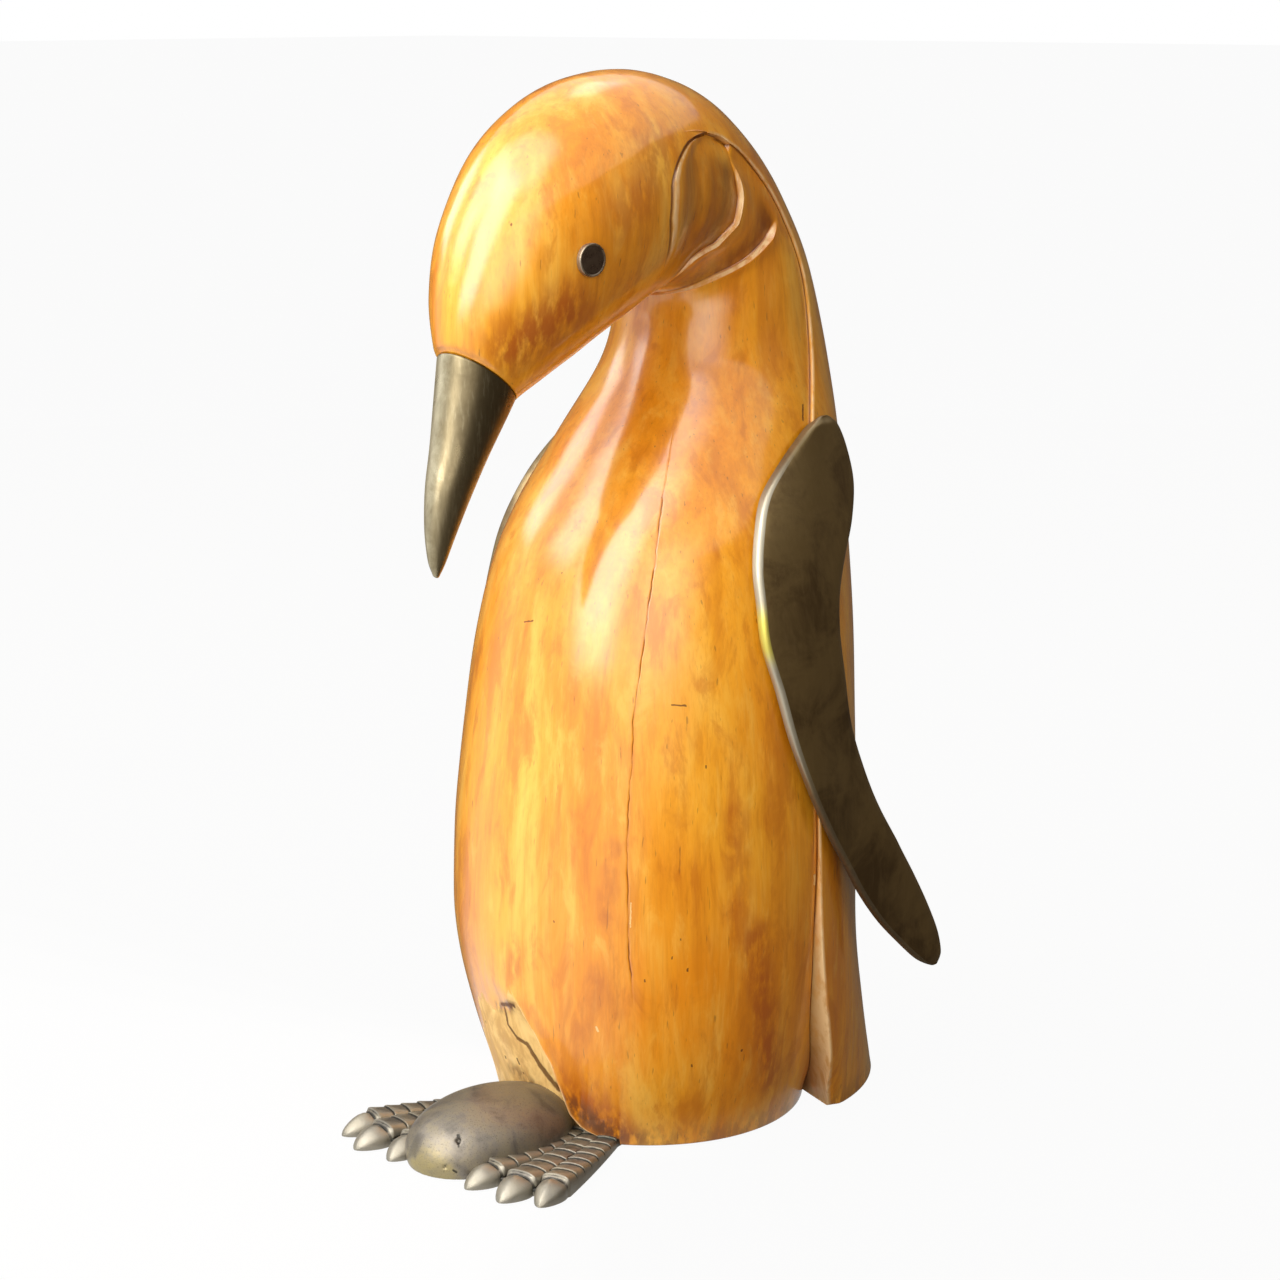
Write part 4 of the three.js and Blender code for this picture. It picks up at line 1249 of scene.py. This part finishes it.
# A wall reaches from the last points of the part before it to the first ones of the next
def blockWall(block, kind, steps, before, after):
    g, t = block.g, steps[None, :]
    a, b = before[0][:, -1], after[0][:, 0]
    wide = np.linalg.norm(b - a, axis=-1)[:, None]
    marks = {name: mixed(before[1][name][:, -1:], after[1][name][:, :1], t) for name in markNames}
    # walls are darker inside the notch and at the foot of a cloak wall, painted shade with dirt,
    # and light along a wall's top edge, wear with painted highlight
    if kind == "notchWall":
        marks["dirtAndShade"] = soft(wide / 3) * 0.12
        marks["bare"] = soft(wide / 2)
        marks["rim"] = soft((t - 0.85) / 0.1) * soft(wide / 2)
    else:
        share = t if kind == "wallLeft" else 1 - t
        inner = soft((0.3 - share) / 0.3) * soft((12.6 - g) / 0.5)
        atTop = soft((g - 12.1) / 0.6) * soft((13.6 - g) / 0.1)
        outer = np.maximum(marks["rim"], soft((share - 0.75) / 0.2))
        marks["dirtAndShade"] = np.maximum(inner, atTop * soft((0.9 - share) / 0.3))
        marks["rim"] = outer * soft((13.3 - g) / 0.3)
        marks["strip"] = soft((wide - 2.5) / 3)
    return mixed(a[:, None], b[:, None], t[..., None]), marks


def bodyGrid():
    block = blockShape()
    columns = blockColumns(block)
    parts = [
        None if values.ndim == 1 else blockPart(block, kind, values) for kind, values in columns
    ]
    for n, (kind, steps) in enumerate(columns):
        if parts[n] is None:
            after = parts[(n + 1) % len(parts)]
            parts[n] = blockWall(block, kind, steps, parts[n - 1], after)
    grid = np.concatenate([points for points, _ in parts], 1)
    marks = {
        name: np.concatenate([np.broadcast_to(m[name], p.shape[:2]) for p, m in parts], 1)
        for name in markNames
    }
    return grid, marks


# Wide marks on the wood as values of its points: start, end, half width in mm and strength
def wideMarks(mesh, strokes, wobble):
    co = vertexData(mesh)[0] * 1000
    shake = np.array([noise.noise(Vector(point) * 0.12) for point in co]) * wobble
    total = np.zeros(len(co))
    for start, end, width, strength in strokes:
        start, whole = np.array(start, float), np.subtract(end, start)
        share = np.clip((co - start) @ whole / (whole @ whole), 0, 1)
        away = np.linalg.norm(co - start - share[:, None] * whole, axis=1) + shake
        total = np.maximum(total, strength * soft((width - away) / (0.88 * width)))
    return total


# Slight hollows and swellings that hand tools leave
def unevenSurface(mesh, amount):
    co, normals = vertexData(mesh)
    waves = np.array([noise.noise(Vector((x * 30, y * 30, z * 14 + 7))) for x, y, z in co])
    waves += 0.45 * np.array([noise.noise(Vector((x * 75, y * 75, z * 30 + 3))) for x, y, z in co])
    push = (waves - 0.6) * amount / 1000 * soft(co[:, 2] / 0.006)
    mesh.vertices.foreach_set("co", (co + normals * push[:, None]).reshape(-1))
    mesh.update()


grid, marks = bodyGrid()
grid[..., 2] = np.maximum(grid[..., 2], body["lowest"])
bodyMesh = skinMesh("body", grid, flatFirst=True)
for name, values in marks.items():
    store(bodyMesh, name, values)
weld(bodyMesh, 0.00003)
darkZone = wideMarks(bodyMesh, wood["darkStrokes"], 2)
height = vertexData(bodyMesh)[0][:, 2] * 1000
store(bodyMesh, "stainAndShade", wideMarks(bodyMesh, wood["stainsAndShade"], 3))
# darker towards the bottom too, in the lowest 16 mm all round
store(bodyMesh, "darkZone", np.maximum(darkZone, 0.5 * soft((16 - height) / 16)))
unevenSurface(bodyMesh, body["unevenness"])
print("body", grid.shape, "points", len(bodyMesh.vertices), "faces", len(bodyMesh.polygons))


# Half width of the block at a y and a height, for pieces that sit on its side
def sideOf(y, z):
    rings = blockRings()
    low, high = np.zeros_like(z), np.full_like(z, 9.0)
    for _ in range(40):
        ring = (low + high) / 2
        q = along(rings, ring)
        there = mixed(q[..., 1], q[..., 3], (y - q[..., 0]) / (q[..., 2] - q[..., 0]))
        low = np.where(there < z, ring, low)
        high = np.where(there < z, high, ring)
    q = along(rings, (low + high) / 2)
    side = along(body["cloak"], (low + high) / 2)[..., 2]
    middle = mixed(q[..., 0], q[..., 2], body["widest"])
    reach = np.where(y > middle, q[..., 2] - middle, middle - q[..., 0])
    return (q[..., 4] + side) * np.sqrt(np.maximum(0.02, 1 - ((y - middle) / reach) ** 2))


# Beak, a cone of brass seated on the face

beak = {
    "gap": 0.3,
    "inset": 0.2,
    # y and z of the upper edge, y and z of the lower edge, from the middle of its seat,
    # and half width
    "taper": [
        (-20, -4, 12, -20, 16.4),
        (-24.5, -28, 1.5, -35, 13.3),
        (-29, -46.5, -8, -51, 10.5),
        (-31, -64, -16.5, -67, 7.4),
        (-30.5, -78, -22.5, -80, 4.2),
        (-28.5, -85.5, -25.5, -86, 1.5),
    ],
    "tip": [(0.9, 0.25), (0.7, 0.6), (0.4, 0.9)],  # share of the width, mm down
    "rimRounding": 0.5,
    "around": 72,
}


def beakMesh():
    seat = np.array(blockRings()[-1], float)
    middle = np.array([(seat[0] + seat[2]) / 2, (seat[1] + seat[3]) / 2])
    length = math.hypot(seat[0] - seat[2], seat[1] - seat[3])
    way = np.array([-(seat[3] - seat[1]), seat[2] - seat[0]]) / length
    table = [(seat[2], seat[3], seat[0], seat[1], seat[4] - beak["inset"])]
    table += [(middle[0] + a, middle[1] + b, middle[0] + c, middle[1] + d, half)
              for a, b, c, d, half in beak["taper"]]
    place = np.concatenate([[0, 0.01, 0.025, 0.05], np.linspace(0.1, len(beak["taper"]), 110)])
    a = circle(beak["around"])
    share = (1 - np.cos(a)) / 2
    rows = []
    for s in place:
        upY, upZ, lowY, lowZ, half = along(table, s)
        inset = beak["rimRounding"] * (1 - math.sqrt(max(0, 1 - (1 - min(1, s / 0.04)) ** 2)))
        keep = 1 - inset / half
        centreY, centreZ = (upY + lowY) / 2, (upZ + lowZ) / 2
        y = centreY + (mixed(lowY, upY, share) - centreY) * keep + way[0] * beak["gap"]
        z = centreZ + (mixed(lowZ, upZ, share) - centreZ) * keep + way[1] * beak["gap"]
        rows.append(np.stack([np.sin(a) * half * keep, y, z], -1))
    tip = rows[-1].mean(0)
    last = rows[-1] - tip
    for keep, drop in beak["tip"]:
        rows.append(tip + last * keep + np.array([0, 0.3 * drop, -drop]))
    mesh = skinMesh("beak", np.array(rows), None, tip + np.array([0, 0.3, -1]))
    joint = np.concatenate([soft((0.05 - place) / 0.03), np.zeros(len(beak["tip"]))])
    store(mesh, "joint", np.repeat(joint, beak["around"]))
    return mesh


# Eyes: turned brass buttons

eye = {
    "at": (-81, 139),
    "turn": 7,
    "seat": 1.2,
    "gap": 0.3,
    "diameter": 15,
    "head": 2.6,
    "around": 72,
    # share of the radius, share of the head's height
    "profile": [
        (0, 0.93), (0.5, 0.925), (0.74, 0.92), (0.79, 0.9), (0.82, 0.86), (0.85, 0.88),
        (0.88, 0.96), (0.92, 1.0), (0.96, 0.985), (0.985, 0.93), (1, 0.84), (1, 0.5), (1, 0.0),
    ],
}


def eyeMesh():
    ring, angle = np.meshgrid(np.arange(13, 18, 0.02), np.arange(50, 130, 0.5), indexing="ij")
    points = surfacePoint(ring, angle, 0, 0)
    y, z = eye["at"][0], eye["at"][1] + body["trunkHeight"]
    nearest = np.argmin(np.hypot(points[..., 1] - y, points[..., 2] - z))
    turn = math.radians(eye["turn"])
    out = np.array([math.cos(turn), -math.sin(turn), 0])
    start = points.reshape(-1, 3)[nearest] + out * (eye["gap"] - eye["seat"])
    u = np.array([math.sin(turn), math.cos(turn), 0])
    v = np.array([0, 0, 1])
    a = circle(eye["around"])[:, None]
    shares, heights = np.array(eye["profile"]).T
    rows = []
    for share, high in zip(shares[1:], heights[1:]):
        r = share * (eye["diameter"] / 2)
        rows.append(start + out * high * eye["head"] + r * (np.cos(a) * u + np.sin(a) * v))
    mesh = skinMesh("eye", np.array(rows), start + out * eye["head"] * heights[0], start)
    store(mesh, "rim", np.repeat(soft((shares[1:] - 0.83) / 0.08), eye["around"]))
    return mesh


# Flippers: cast plates, square in front and thinner behind

flipper = {
    "thickness": 5.5,
    "flat": 0.5,
    "gap": 0.3,
    "leaves": (-85, -150),
    "out": 101,
    # height against the trunk's, y of the front edge, y of the back edge
    "slices": [
        (57, 54, 62),
        (52, 40, 67),
        (41, 22, 69),
        (26, 4, 67),
        (10, -6, 58),
        (-6, -12, 46),
        (-22, -14, 37.5),
        (-40, -15, 34),
        (-61, -11, 35),
        (-84, -6, 38),
        (-110, 3, 48),
        (-130, 14, 58),
        (-150, 28, 71),
        (-168, 41, 84),
        (-186, 57, 96),
        (-202, 75, 105),
        (-214, 90, 108.5),
        (-220, 101, 107),
    ],
    # mm from the edge, share of the thickness there
    "frontEdge": [(0, 0.0), (0, 0.36), (0.2, 0.62), (0.7, 0.8), (1.5, 0.9), (2.6, 0.96), (4.5, 1)],
    "backEdge": [(0, 0.0), (0.15, 0.3), (0.7, 0.55), (2, 0.78), (4.5, 0.93), (8, 1)],
}


def flipperMiddle(y, z, centre):
    held = np.where(y > centre, mixed(y, centre, flipper["flat"]), y)
    high, low = flipper["leaves"]
    free = soft((body["trunkHeight"] + high - z) / (high - low))
    resting = sideOf(held, z) + flipper["gap"]
    return mixed(resting, flipper["out"], free) + flipper["thickness"] / 2


def flipperMesh():
    slices = flipper["slices"]
    last = len(slices) - 1
    ends = np.array([0, 0.02, 0.06, 0.12, 0.2, 0.32])
    place = np.concatenate([ends, np.linspace(0.45, last - 0.45, 150), last - ends[::-1]])
    rows, rims = [], []
    for s in place:
        up, front, back = along(slices, s)
        full = min(1, 0.3 + 0.7 * soft(s / 0.8)) * min(1, 0.3 + 0.7 * soft((last - s) / 1.2))
        fromEnd = min(1, min(s, last - s) / 0.3)
        narrow = 1 - 0.35 * (1 - math.sqrt(1 - (1 - fromEnd) ** 2))
        middle, half = (front + back) / 2, (back - front) / 2 * narrow
        front, back = middle - half, middle + half
        scale = min(1, (back - front) / 16)
        frontSide = [(front + mm * scale, share) for mm, share in flipper["frontEdge"]]
        backSide = [(back - mm * scale, share) for mm, share in flipper["backEdge"]]
        plate = np.linspace(frontSide[-1][0], backSide[-1][0], 20)[1:-1]
        y, share = np.array(frontSide + [(y, 1.0) for y in plate] + backSide[::-1]).T
        z = np.full_like(y, body["trunkHeight"] + up)
        x = flipperMiddle(y, z, (front + back) / 2)
        thick = share * full * flipper["thickness"] / 2
        outer = np.stack([x + thick, y, z], -1)
        inner = np.stack([x - thick, y, z], -1)[1:-1][::-1]
        rows.append(np.concatenate([outer, inner]))
        rim = soft((2.6 - (y - front)) / 1.6)
        rims.append(np.concatenate([rim, rim[1:-1][::-1]]))
    mesh = skinMesh("flipper", np.array(rows))
    store(mesh, "frontRim", np.array(rims))
    return mesh


# Feet: three ridged toes on a web, with a tang under the block

foot = {
    "reach": 151,
    # x and y of the root, x and y of the middle, x of the tip, how much shorter than the
    # longest, half width at the root and near the tip
    "toes": [
        (36, -62, 52, -104, 64, 8, 5.5, 7.5),
        (28, -62, 40, -104, 47, 0, 5.5, 8.5),
        (19, -62, 26, -104, 25, 1, 5.5, 8),
    ],
    "rootHeight": 4.5,
    "height": 10,
    "scales": 8,
    "scaleRise": 0.9,
    "claw": 17,
    # a toe's section from the ground to its ridge: share of the half width, share of the
    # height, and that of the claw
    "across": (1, 1, 0.99, 0.96, 0.9, 0.8, 0.66, 0.5, 0.34, 0.17, 0),
    "up": (0, 0.28, 0.5, 0.66, 0.79, 0.88, 0.94, 0.97, 0.99, 1, 1),
    "clawUp": (0, 0.1, 0.2, 0.3, 0.4, 0.5, 0.6, 0.7, 0.8, 0.9, 1),
    # share of the claw's length, share of the width, height against the toe's
    "clawShape": [
        (0.03, 0.97, -1.5), (0.07, 0.93, -2.3), (0.11, 0.92, -2.2), (0.16, 0.94, -1.4),
        (0.26, 0.95, -0.9), (0.4, 0.91, -1.2), (0.54, 0.82, -2.2), (0.68, 0.69, -3.7),
        (0.8, 0.54, -5.3), (0.9, 0.37, -6.9), (0.97, 0.18, -8.6),
    ],
    "webThickness": 3.5,
    "web": [
        (15, -58), (43, -58), (45, -74), (55, -101), (63, -124), (63, -136), (56, -133),
        (46, -141), (35, -135), (25, -141), (17, -134), (16, -100),
    ],
    "tangThickness": 6,
    "tang": [(17, -60), (43, -60), (40, -22), (20, -22)],
    "screws": [(30, -50), (30, -32)],
    "screwHead": 8,
    "screwHole": 2.3,
    "rimRadius": 0.3,
    "rimSink": 0.3,
}


# Points and lengths along a toe, where its claw starts, and the share that one scale takes
def toeLine(toe):
    rootX, rootY, midX, midY, tipX, shorter, _, _ = toe
    root = np.array([rootX, rootY], float)
    tip = np.array([tipX, shorter - foot["reach"]], float)
    handle = 2 * np.array([midX, midY]) - (root + tip) / 2
    t = np.linspace(0, 1, 400)[:, None]
    points = (1 - t) ** 2 * root + 2 * t * (1 - t) * handle + t**2 * tip
    step = np.linalg.norm(np.diff(points, axis=0), axis=1)
    length = np.concatenate([[0], np.cumsum(step)])
    scalesEnd = 1 - foot["claw"] / length[-1]
    return points, length, scalesEnd, scalesEnd / foot["scales"]


def onLine(points, length, share):
    s = share * length[-1]
    spot, ahead, behind = (
        np.array([np.interp(s + step, length, points[:, n]) for n in (0, 1)])
        for step in (0, 0.5, -0.5)
    )
    return spot, (ahead - behind) / np.linalg.norm(ahead - behind)


def toeSize(toe, at, scalesEnd):
    t = min(1, at / scalesEnd)
    return mixed(toe[6], toe[7], t), mixed(foot["rootHeight"], foot["height"], t)


def toeMesh(toe):
    points, length, scalesEnd, pitch = toeLine(toe)
    places = []
    for n in range(foot["scales"]):
        for s in (0.0, 0.15, 0.35, 0.55, 0.75, 0.9):
            places.append(((n + s) * pitch, 1, foot["scaleRise"] * (s**1.2 - 1)))
        places.append(((n + 0.97) * pitch, 1, -0.12))
    places.append((scalesEnd, 1, -1.15))
    for share, keep, rise in foot["clawShape"]:
        places.append((mixed(scalesEnd, 1, share), keep, rise))
    across, up, clawUp = (np.array(foot[name], float) for name in ("across", "up", "clawUp"))
    rows = []
    for at, keep, rise in places:
        spot, way = onLine(points, length, at)
        half, height = toeSize(toe, at, scalesEnd)
        claw = soft((at - scalesEnd) / (1 - scalesEnd) / 0.25)
        section = mixed(up, 1 - (1 - clawUp) ** 1.35, claw * 0.85)
        if at < scalesEnd:
            lift = np.where(up > 0.6, 1, up / 0.6) * rise
            z = np.maximum(section * height + lift * (up > 0), 0)
        else:
            z = section * max(0.2, height + rise)
        z[0] = 0
        s = across * half * keep
        left = np.stack([spot[0] - way[1] * s, spot[1] + way[0] * s, z], -1)
        right = np.stack([spot[0] + way[1] * s, spot[1] - way[0] * s, z], -1)[:-1][::-1]
        rows.append(np.concatenate([left, right]))
    start = (rows[0][0] + rows[0][-1]) / 2
    tip = np.array([points[-1][0], points[-1][1], 0])
    return skinMesh("toe", np.array(rows), start, tip)


def slabMesh(outline, thickness, rounding):
    outline = np.array(outline, float)
    way = outline.mean(0) - outline
    size = np.linalg.norm(way, axis=1, keepdims=True)
    levels = (
        (0, 0),
        (0, thickness - rounding),
        (0.3 * rounding, thickness - 0.3 * rounding),
        (rounding, thickness),
    )
    rows = []
    for inset, z in levels:
        points = outline + way / size * inset
        rows.append(np.concatenate([points, np.full((len(points), 1), z)], 1))
    return skinMesh("slab", np.array(rows))


# The hole of a countersunk screw
def holeMesh(x, y):
    wide, narrow = foot["screwHead"] / 2 + 0.3, foot["screwHole"]
    a = circle(32)
    rows = []
    for r, z in ((wide, -1), (wide, 0.5), (narrow, 0.5 + wide - narrow), (narrow, 8)):
        rows.append(np.stack([x + r * np.cos(a), y + r * np.sin(a), np.full_like(a, z)], -1))
    return skinMesh("hole", np.array(rows))


# Adds a node to a tree, sets its inputs by name and gives back its outputs
def made(tree, kind, inputs, **values):
    node = addNode(tree, kind, **values)
    for name, value in inputs.items():
        put(node.inputs[name], value)
    return node.outputs


# Raised rims of the toes' scales: an arch at each scale along the toe's line
def scaleTree():
    tree, given, result = newGroup(
        "toeScales",
        [("Toe Line", "Geometry", None), ("Scales", "Int", 8), ("Sides", "Int", 8),
         ("Rim Radius", "Float", 0.0004), ("Sink", "Float", 0.0002), ("Metal", "Material", None)],
        ("Rims",),
        "GeometryNodeTree",
        "Geometry",
    )
    curve = made(tree, "GeometryNodeMeshToCurve", {"Mesh": given["Toe Line"]})["Curve"]
    counted = {"Curve": curve, "Count": given["Scales"]}
    points = made(tree, "GeometryNodeCurveToPoints", counted, mode="COUNT")
    bow = {"Radius": 1, "Start Angle": math.radians(38), "Sweep Angle": math.radians(104)}
    bow["Resolution"] = 17
    arch = made(tree, "GeometryNodeCurveArc", bow, mode="RADIUS")["Curve"]
    upright = {"Geometry": arch, "Rotation": (math.radians(90), 0, 0)}
    ahead = {"Vector": points["Tangent"]}
    turned = made(tree, "FunctionNodeAlignRotationToVector", ahead, axis="Y", pivot_axis="Z")
    width, height = (
        made(tree, "GeometryNodeInputNamedAttribute", {"Name": name}, data_type="FLOAT")
        for name in ("halfWidth", "ridgeHeight")
    )
    lowered = calc(tree, "SUBTRACT", height["Attribute"], given["Sink"])
    size = {"X": width["Attribute"], "Y": 1, "Z": lowered}
    arches = made(tree, "GeometryNodeInstanceOnPoints", {
        "Points": points["Points"],
        "Instance": made(tree, "GeometryNodeTransform", upright)["Geometry"],
        "Rotation": turned["Rotation"],
        "Scale": made(tree, "ShaderNodeCombineXYZ", size)["Vector"],
    })["Instances"]
    wire = {"Radius": given["Rim Radius"], "Resolution": given["Sides"]}
    rims = made(tree, "GeometryNodeCurveToMesh", {
        "Curve": made(tree, "GeometryNodeRealizeInstances", {"Geometry": arches})["Geometry"],
        "Profile Curve": made(tree, "GeometryNodeCurvePrimitiveCircle", wire)["Curve"],
        "Fill Caps": True,
    })["Mesh"]
    painted = {"Geometry": rims, "Material": given["Metal"]}
    put(result["Rims"], made(tree, "GeometryNodeSetMaterial", painted)["Geometry"])
    return tree


def meshFromTree(tree, values, source):
    host = placed("host", source)
    modifier = host.modifiers.new("shape", "NODES")
    modifier.node_group = tree
    for item in tree.interface.items_tree:
        if item.item_type == "SOCKET" and item.in_out == "INPUT" and item.name in values:
            modifier[item.identifier] = values[item.name]
    evaluated = host.evaluated_get(bpy.context.evaluated_depsgraph_get())
    mesh = bpy.data.meshes.new_from_object(evaluated)
    bpy.data.objects.remove(host)
    return mesh


def scaleRims(toe, tree, look):
    points, length, scalesEnd, pitch = toeLine(toe)
    shares = [(n + 0.93) * pitch for n in range(foot["scales"])]
    spots = [onLine(points, length, share)[0] for share in shares]
    sizes = [toeSize(toe, share, scalesEnd) for share in shares]
    mesh = bpy.data.meshes.new("toeLine")
    corners = [(x / 1000, y / 1000, 0) for x, y in spots]
    mesh.from_pydata(corners, [(n, n + 1) for n in range(len(spots) - 1)], [])
    store(mesh, "halfWidth", [0.93 * half / 1000 for half, _ in sizes])
    store(mesh, "ridgeHeight", [height / 1000 for _, height in sizes])
    values = {
        "Scales": foot["scales"],
        "Sides": 8,
        "Rim Radius": foot["rimRadius"] / 1000,
        "Sink": foot["rimSink"] / 1000,
        "Metal": look,
    }
    return meshFromTree(tree, values, mesh)


def combined(meshes, name, operation="UNION"):
    objects = [placed("part", mesh) for mesh in meshes]
    first = objects[0]
    for other in objects[1:]:
        modifier = first.modifiers.new("join", "BOOLEAN")
        modifier.operation = operation
        modifier.solver = "MANIFOLD"
        modifier.object = other
    bpy.context.view_layer.update()
    evaluated = first.evaluated_get(bpy.context.evaluated_depsgraph_get())
    mesh = bpy.data.meshes.new_from_object(evaluated)
    for thing in objects:
        bpy.data.objects.remove(thing)
    mesh.name = name
    return mesh


# How far each point stands out of its surroundings, for worn edges and dirty hollows
def storeRelief(mesh, rounds, reachMm):
    count = len(mesh.vertices)
    co, normals = vertexData(mesh)
    edges = np.zeros(len(mesh.edges) * 2, int)
    mesh.edges.foreach_get("vertices", edges)
    a, b = edges.reshape(-1, 2).T
    number = np.bincount(a, minlength=count) + np.bincount(b, minlength=count)
    smoothed = co.copy()
    for _ in range(rounds):
        total = np.zeros_like(co)
        for n in range(3):
            near = smoothed[:, n]
            total[:, n] = np.bincount(a, near[b], count) + np.bincount(b, near[a], count)
        smoothed = 0.5 * smoothed + 0.5 * total / np.maximum(number, 1)[:, None]
    relief = ((co - smoothed) * normals).sum(1) * 1000 / reachMm
    store(mesh, "relief", np.clip(relief, -1, 1))


def footMesh(look):
    tree = scaleTree()
    parts = [toeMesh(toe) for toe in foot["toes"]]
    parts.append(slabMesh(foot["web"], foot["webThickness"], 0.9))
    parts.append(slabMesh(foot["tang"], foot["tangThickness"], 0.4))
    solid = combined(parts, "footSolid")
    holes = [holeMesh(x, y) for x, y in foot["screws"]]
    solid = combined([solid] + holes, "footCut", "DIFFERENCE")
    rims = [scaleRims(toe, tree, look) for toe in foot["toes"]]
    mesh = combined([solid] + rims, "foot")
    # darker where the toes turn away from the light, near the ground and on the claws
    co, normals = vertexData(mesh)
    steep = soft((0.62 - normals[:, 2]) / 0.3)
    outer = soft((normals[:, 0] * 0.945 + normals[:, 1] * 0.33 - 0.15) / 0.4)
    low = soft((0.0045 - co[:, 2]) / 0.003)
    claw = soft((-0.127 - co[:, 1]) / 0.01)
    shades = [steep * outer, low * 0.8, 0.22 + 0.35 * steep + 0.2 * claw]
    store(mesh, "shaded", np.maximum.reduce(shades))
    return mesh


# Egg: a rounded dome of brass, flat where it stands

egg = {
    "middle": (-2, -104, 5.5),
    "half": (31.5, 47.5, 22.5),
    "blunt": 0.08,
    "around": 200,
    "along": 150,
    # x, y and z of small casting holes, their half length, half width and depth
    "pits": [((11.4, -140.4, 17), 3.4, 1.2, 1.4), ((10, -147.9, 6.3), 1.2, 1.0, 0.8)],
}


# A ball that is narrower and lower towards one end, cut off flat at the ground
def eggTree():
    sizes = ("Half Width", "Half Length", "Half Height", "Blunt", "Middle Height")
    tree, given, result = newGroup(
        "eggShape",
        [(name, "Float", None) for name in sizes]
        + [("Around", "Int", 96), ("Along", "Int", 64), ("Metal", "Material", None)],
        ("Egg",),
        "GeometryNodeTree",
        "Geometry",
    )
    ball = {"Radius": 1, "Segments": given["Around"], "Rings": given["Along"]}
    ball = made(tree, "GeometryNodeMeshUVSphere", ball)["Mesh"]
    turned = {"Geometry": ball, "Rotation": (math.radians(90), 0, 0)}
    turned = made(tree, "GeometryNodeTransform", turned)["Geometry"]
    place = parted(tree, addNode(tree, "GeometryNodeInputPosition").outputs[0])
    full = calc(tree, "SUBTRACT", 1.0, times(tree, given["Blunt"], place["Y"]))
    high = times(tree, place["Z"], full, given["Half Height"])
    high = calc(tree, "ADD", high, given["Middle Height"])
    point = {
        "X": times(tree, place["X"], full, given["Half Width"]),
        "Y": times(tree, place["Y"], given["Half Length"]),
        "Z": calc(tree, "MAXIMUM", high, 0.0),
    }
    point = made(tree, "ShaderNodeCombineXYZ", point)["Vector"]
    moved = made(tree, "GeometryNodeSetPosition", {"Geometry": turned, "Position": point})
    real = made(tree, "GeometryNodeRealizeInstances", {"Geometry": moved["Geometry"]})
    painted = {"Geometry": real["Geometry"], "Material": given["Metal"]}
    put(result["Egg"], made(tree, "GeometryNodeSetMaterial", painted)["Geometry"])
    return tree


def eggMesh(look):
    x, y, z = egg["middle"]
    values = {
        "Half Width": egg["half"][0] / 1000,
        "Half Length": egg["half"][1] / 1000,
        "Half Height": egg["half"][2] / 1000,
        "Blunt": egg["blunt"],
        "Middle Height": z / 1000,
        "Around": egg["around"],
        "Along": egg["along"],
        "Metal": look,
    }
    mesh = meshFromTree(eggTree(), values, bpy.data.meshes.new("seed"))
    co, normals = vertexData(mesh)
    co = co + np.array([x, y, 0]) / 1000
    for spot, long, wide, deep in egg["pits"]:
        away = (co - np.array(spot) / 1000) * 1000
        flat = away - (away * normals).sum(1, keepdims=True) * normals
        steep = flat[:, 2] - 0.25 * flat[:, 1]
        side = np.sqrt(np.maximum((flat**2).sum(1) - steep**2, 0))
        inside = soft(1.35 - np.hypot(steep / long, side / wide))
        co -= normals * (inside * deep / 1000)[:, None]
    mesh.vertices.foreach_set("co", co.reshape(-1))
    mesh.update()
    return mesh


# All pieces


pieceFrom(bodyMesh, "carvedBody", carvedWood, ["body"])
pieceFrom(beakMesh(), "castBeak", beakBrass, ["beak"])

leftEye = eyeMesh()
rightEye = mirroredMesh(leftEye, "rightEye")
pieceFrom(leftEye, "leftEye", eyeBrass, ["eye_left"])
pieceFrom(rightEye, "rightEye", eyeBrass, ["eye_right"])

leftFlipper = flipperMesh()
rightFlipper = mirroredMesh(leftFlipper, "rightFlipper")
pieceFrom(leftFlipper, "leftFlipper", flipperBrass, ["flipper_left"])
pieceFrom(rightFlipper, "rightFlipper", flipperBrass, ["flipper_right"])

leftFoot = footMesh(footBrass)
storeRelief(leftFoot, 6, 0.25)
rightFoot = mirroredMesh(leftFoot, "rightFoot")
pieceFrom(leftFoot, "leftFoot", footBrass, ["foot_left"], 50)
pieceFrom(rightFoot, "rightFoot", footBrass, ["foot_right"], 50)
pieceFrom(eggMesh(footBrass), "castEgg", footBrass, ["egg"])

for name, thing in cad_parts.items():
    if "rod" in name or "stud" in name or "screw" in name:
        for place in thing.material_slots:
            place.link = "OBJECT"
            place.material = plainSteel
print("all pieces are in place")
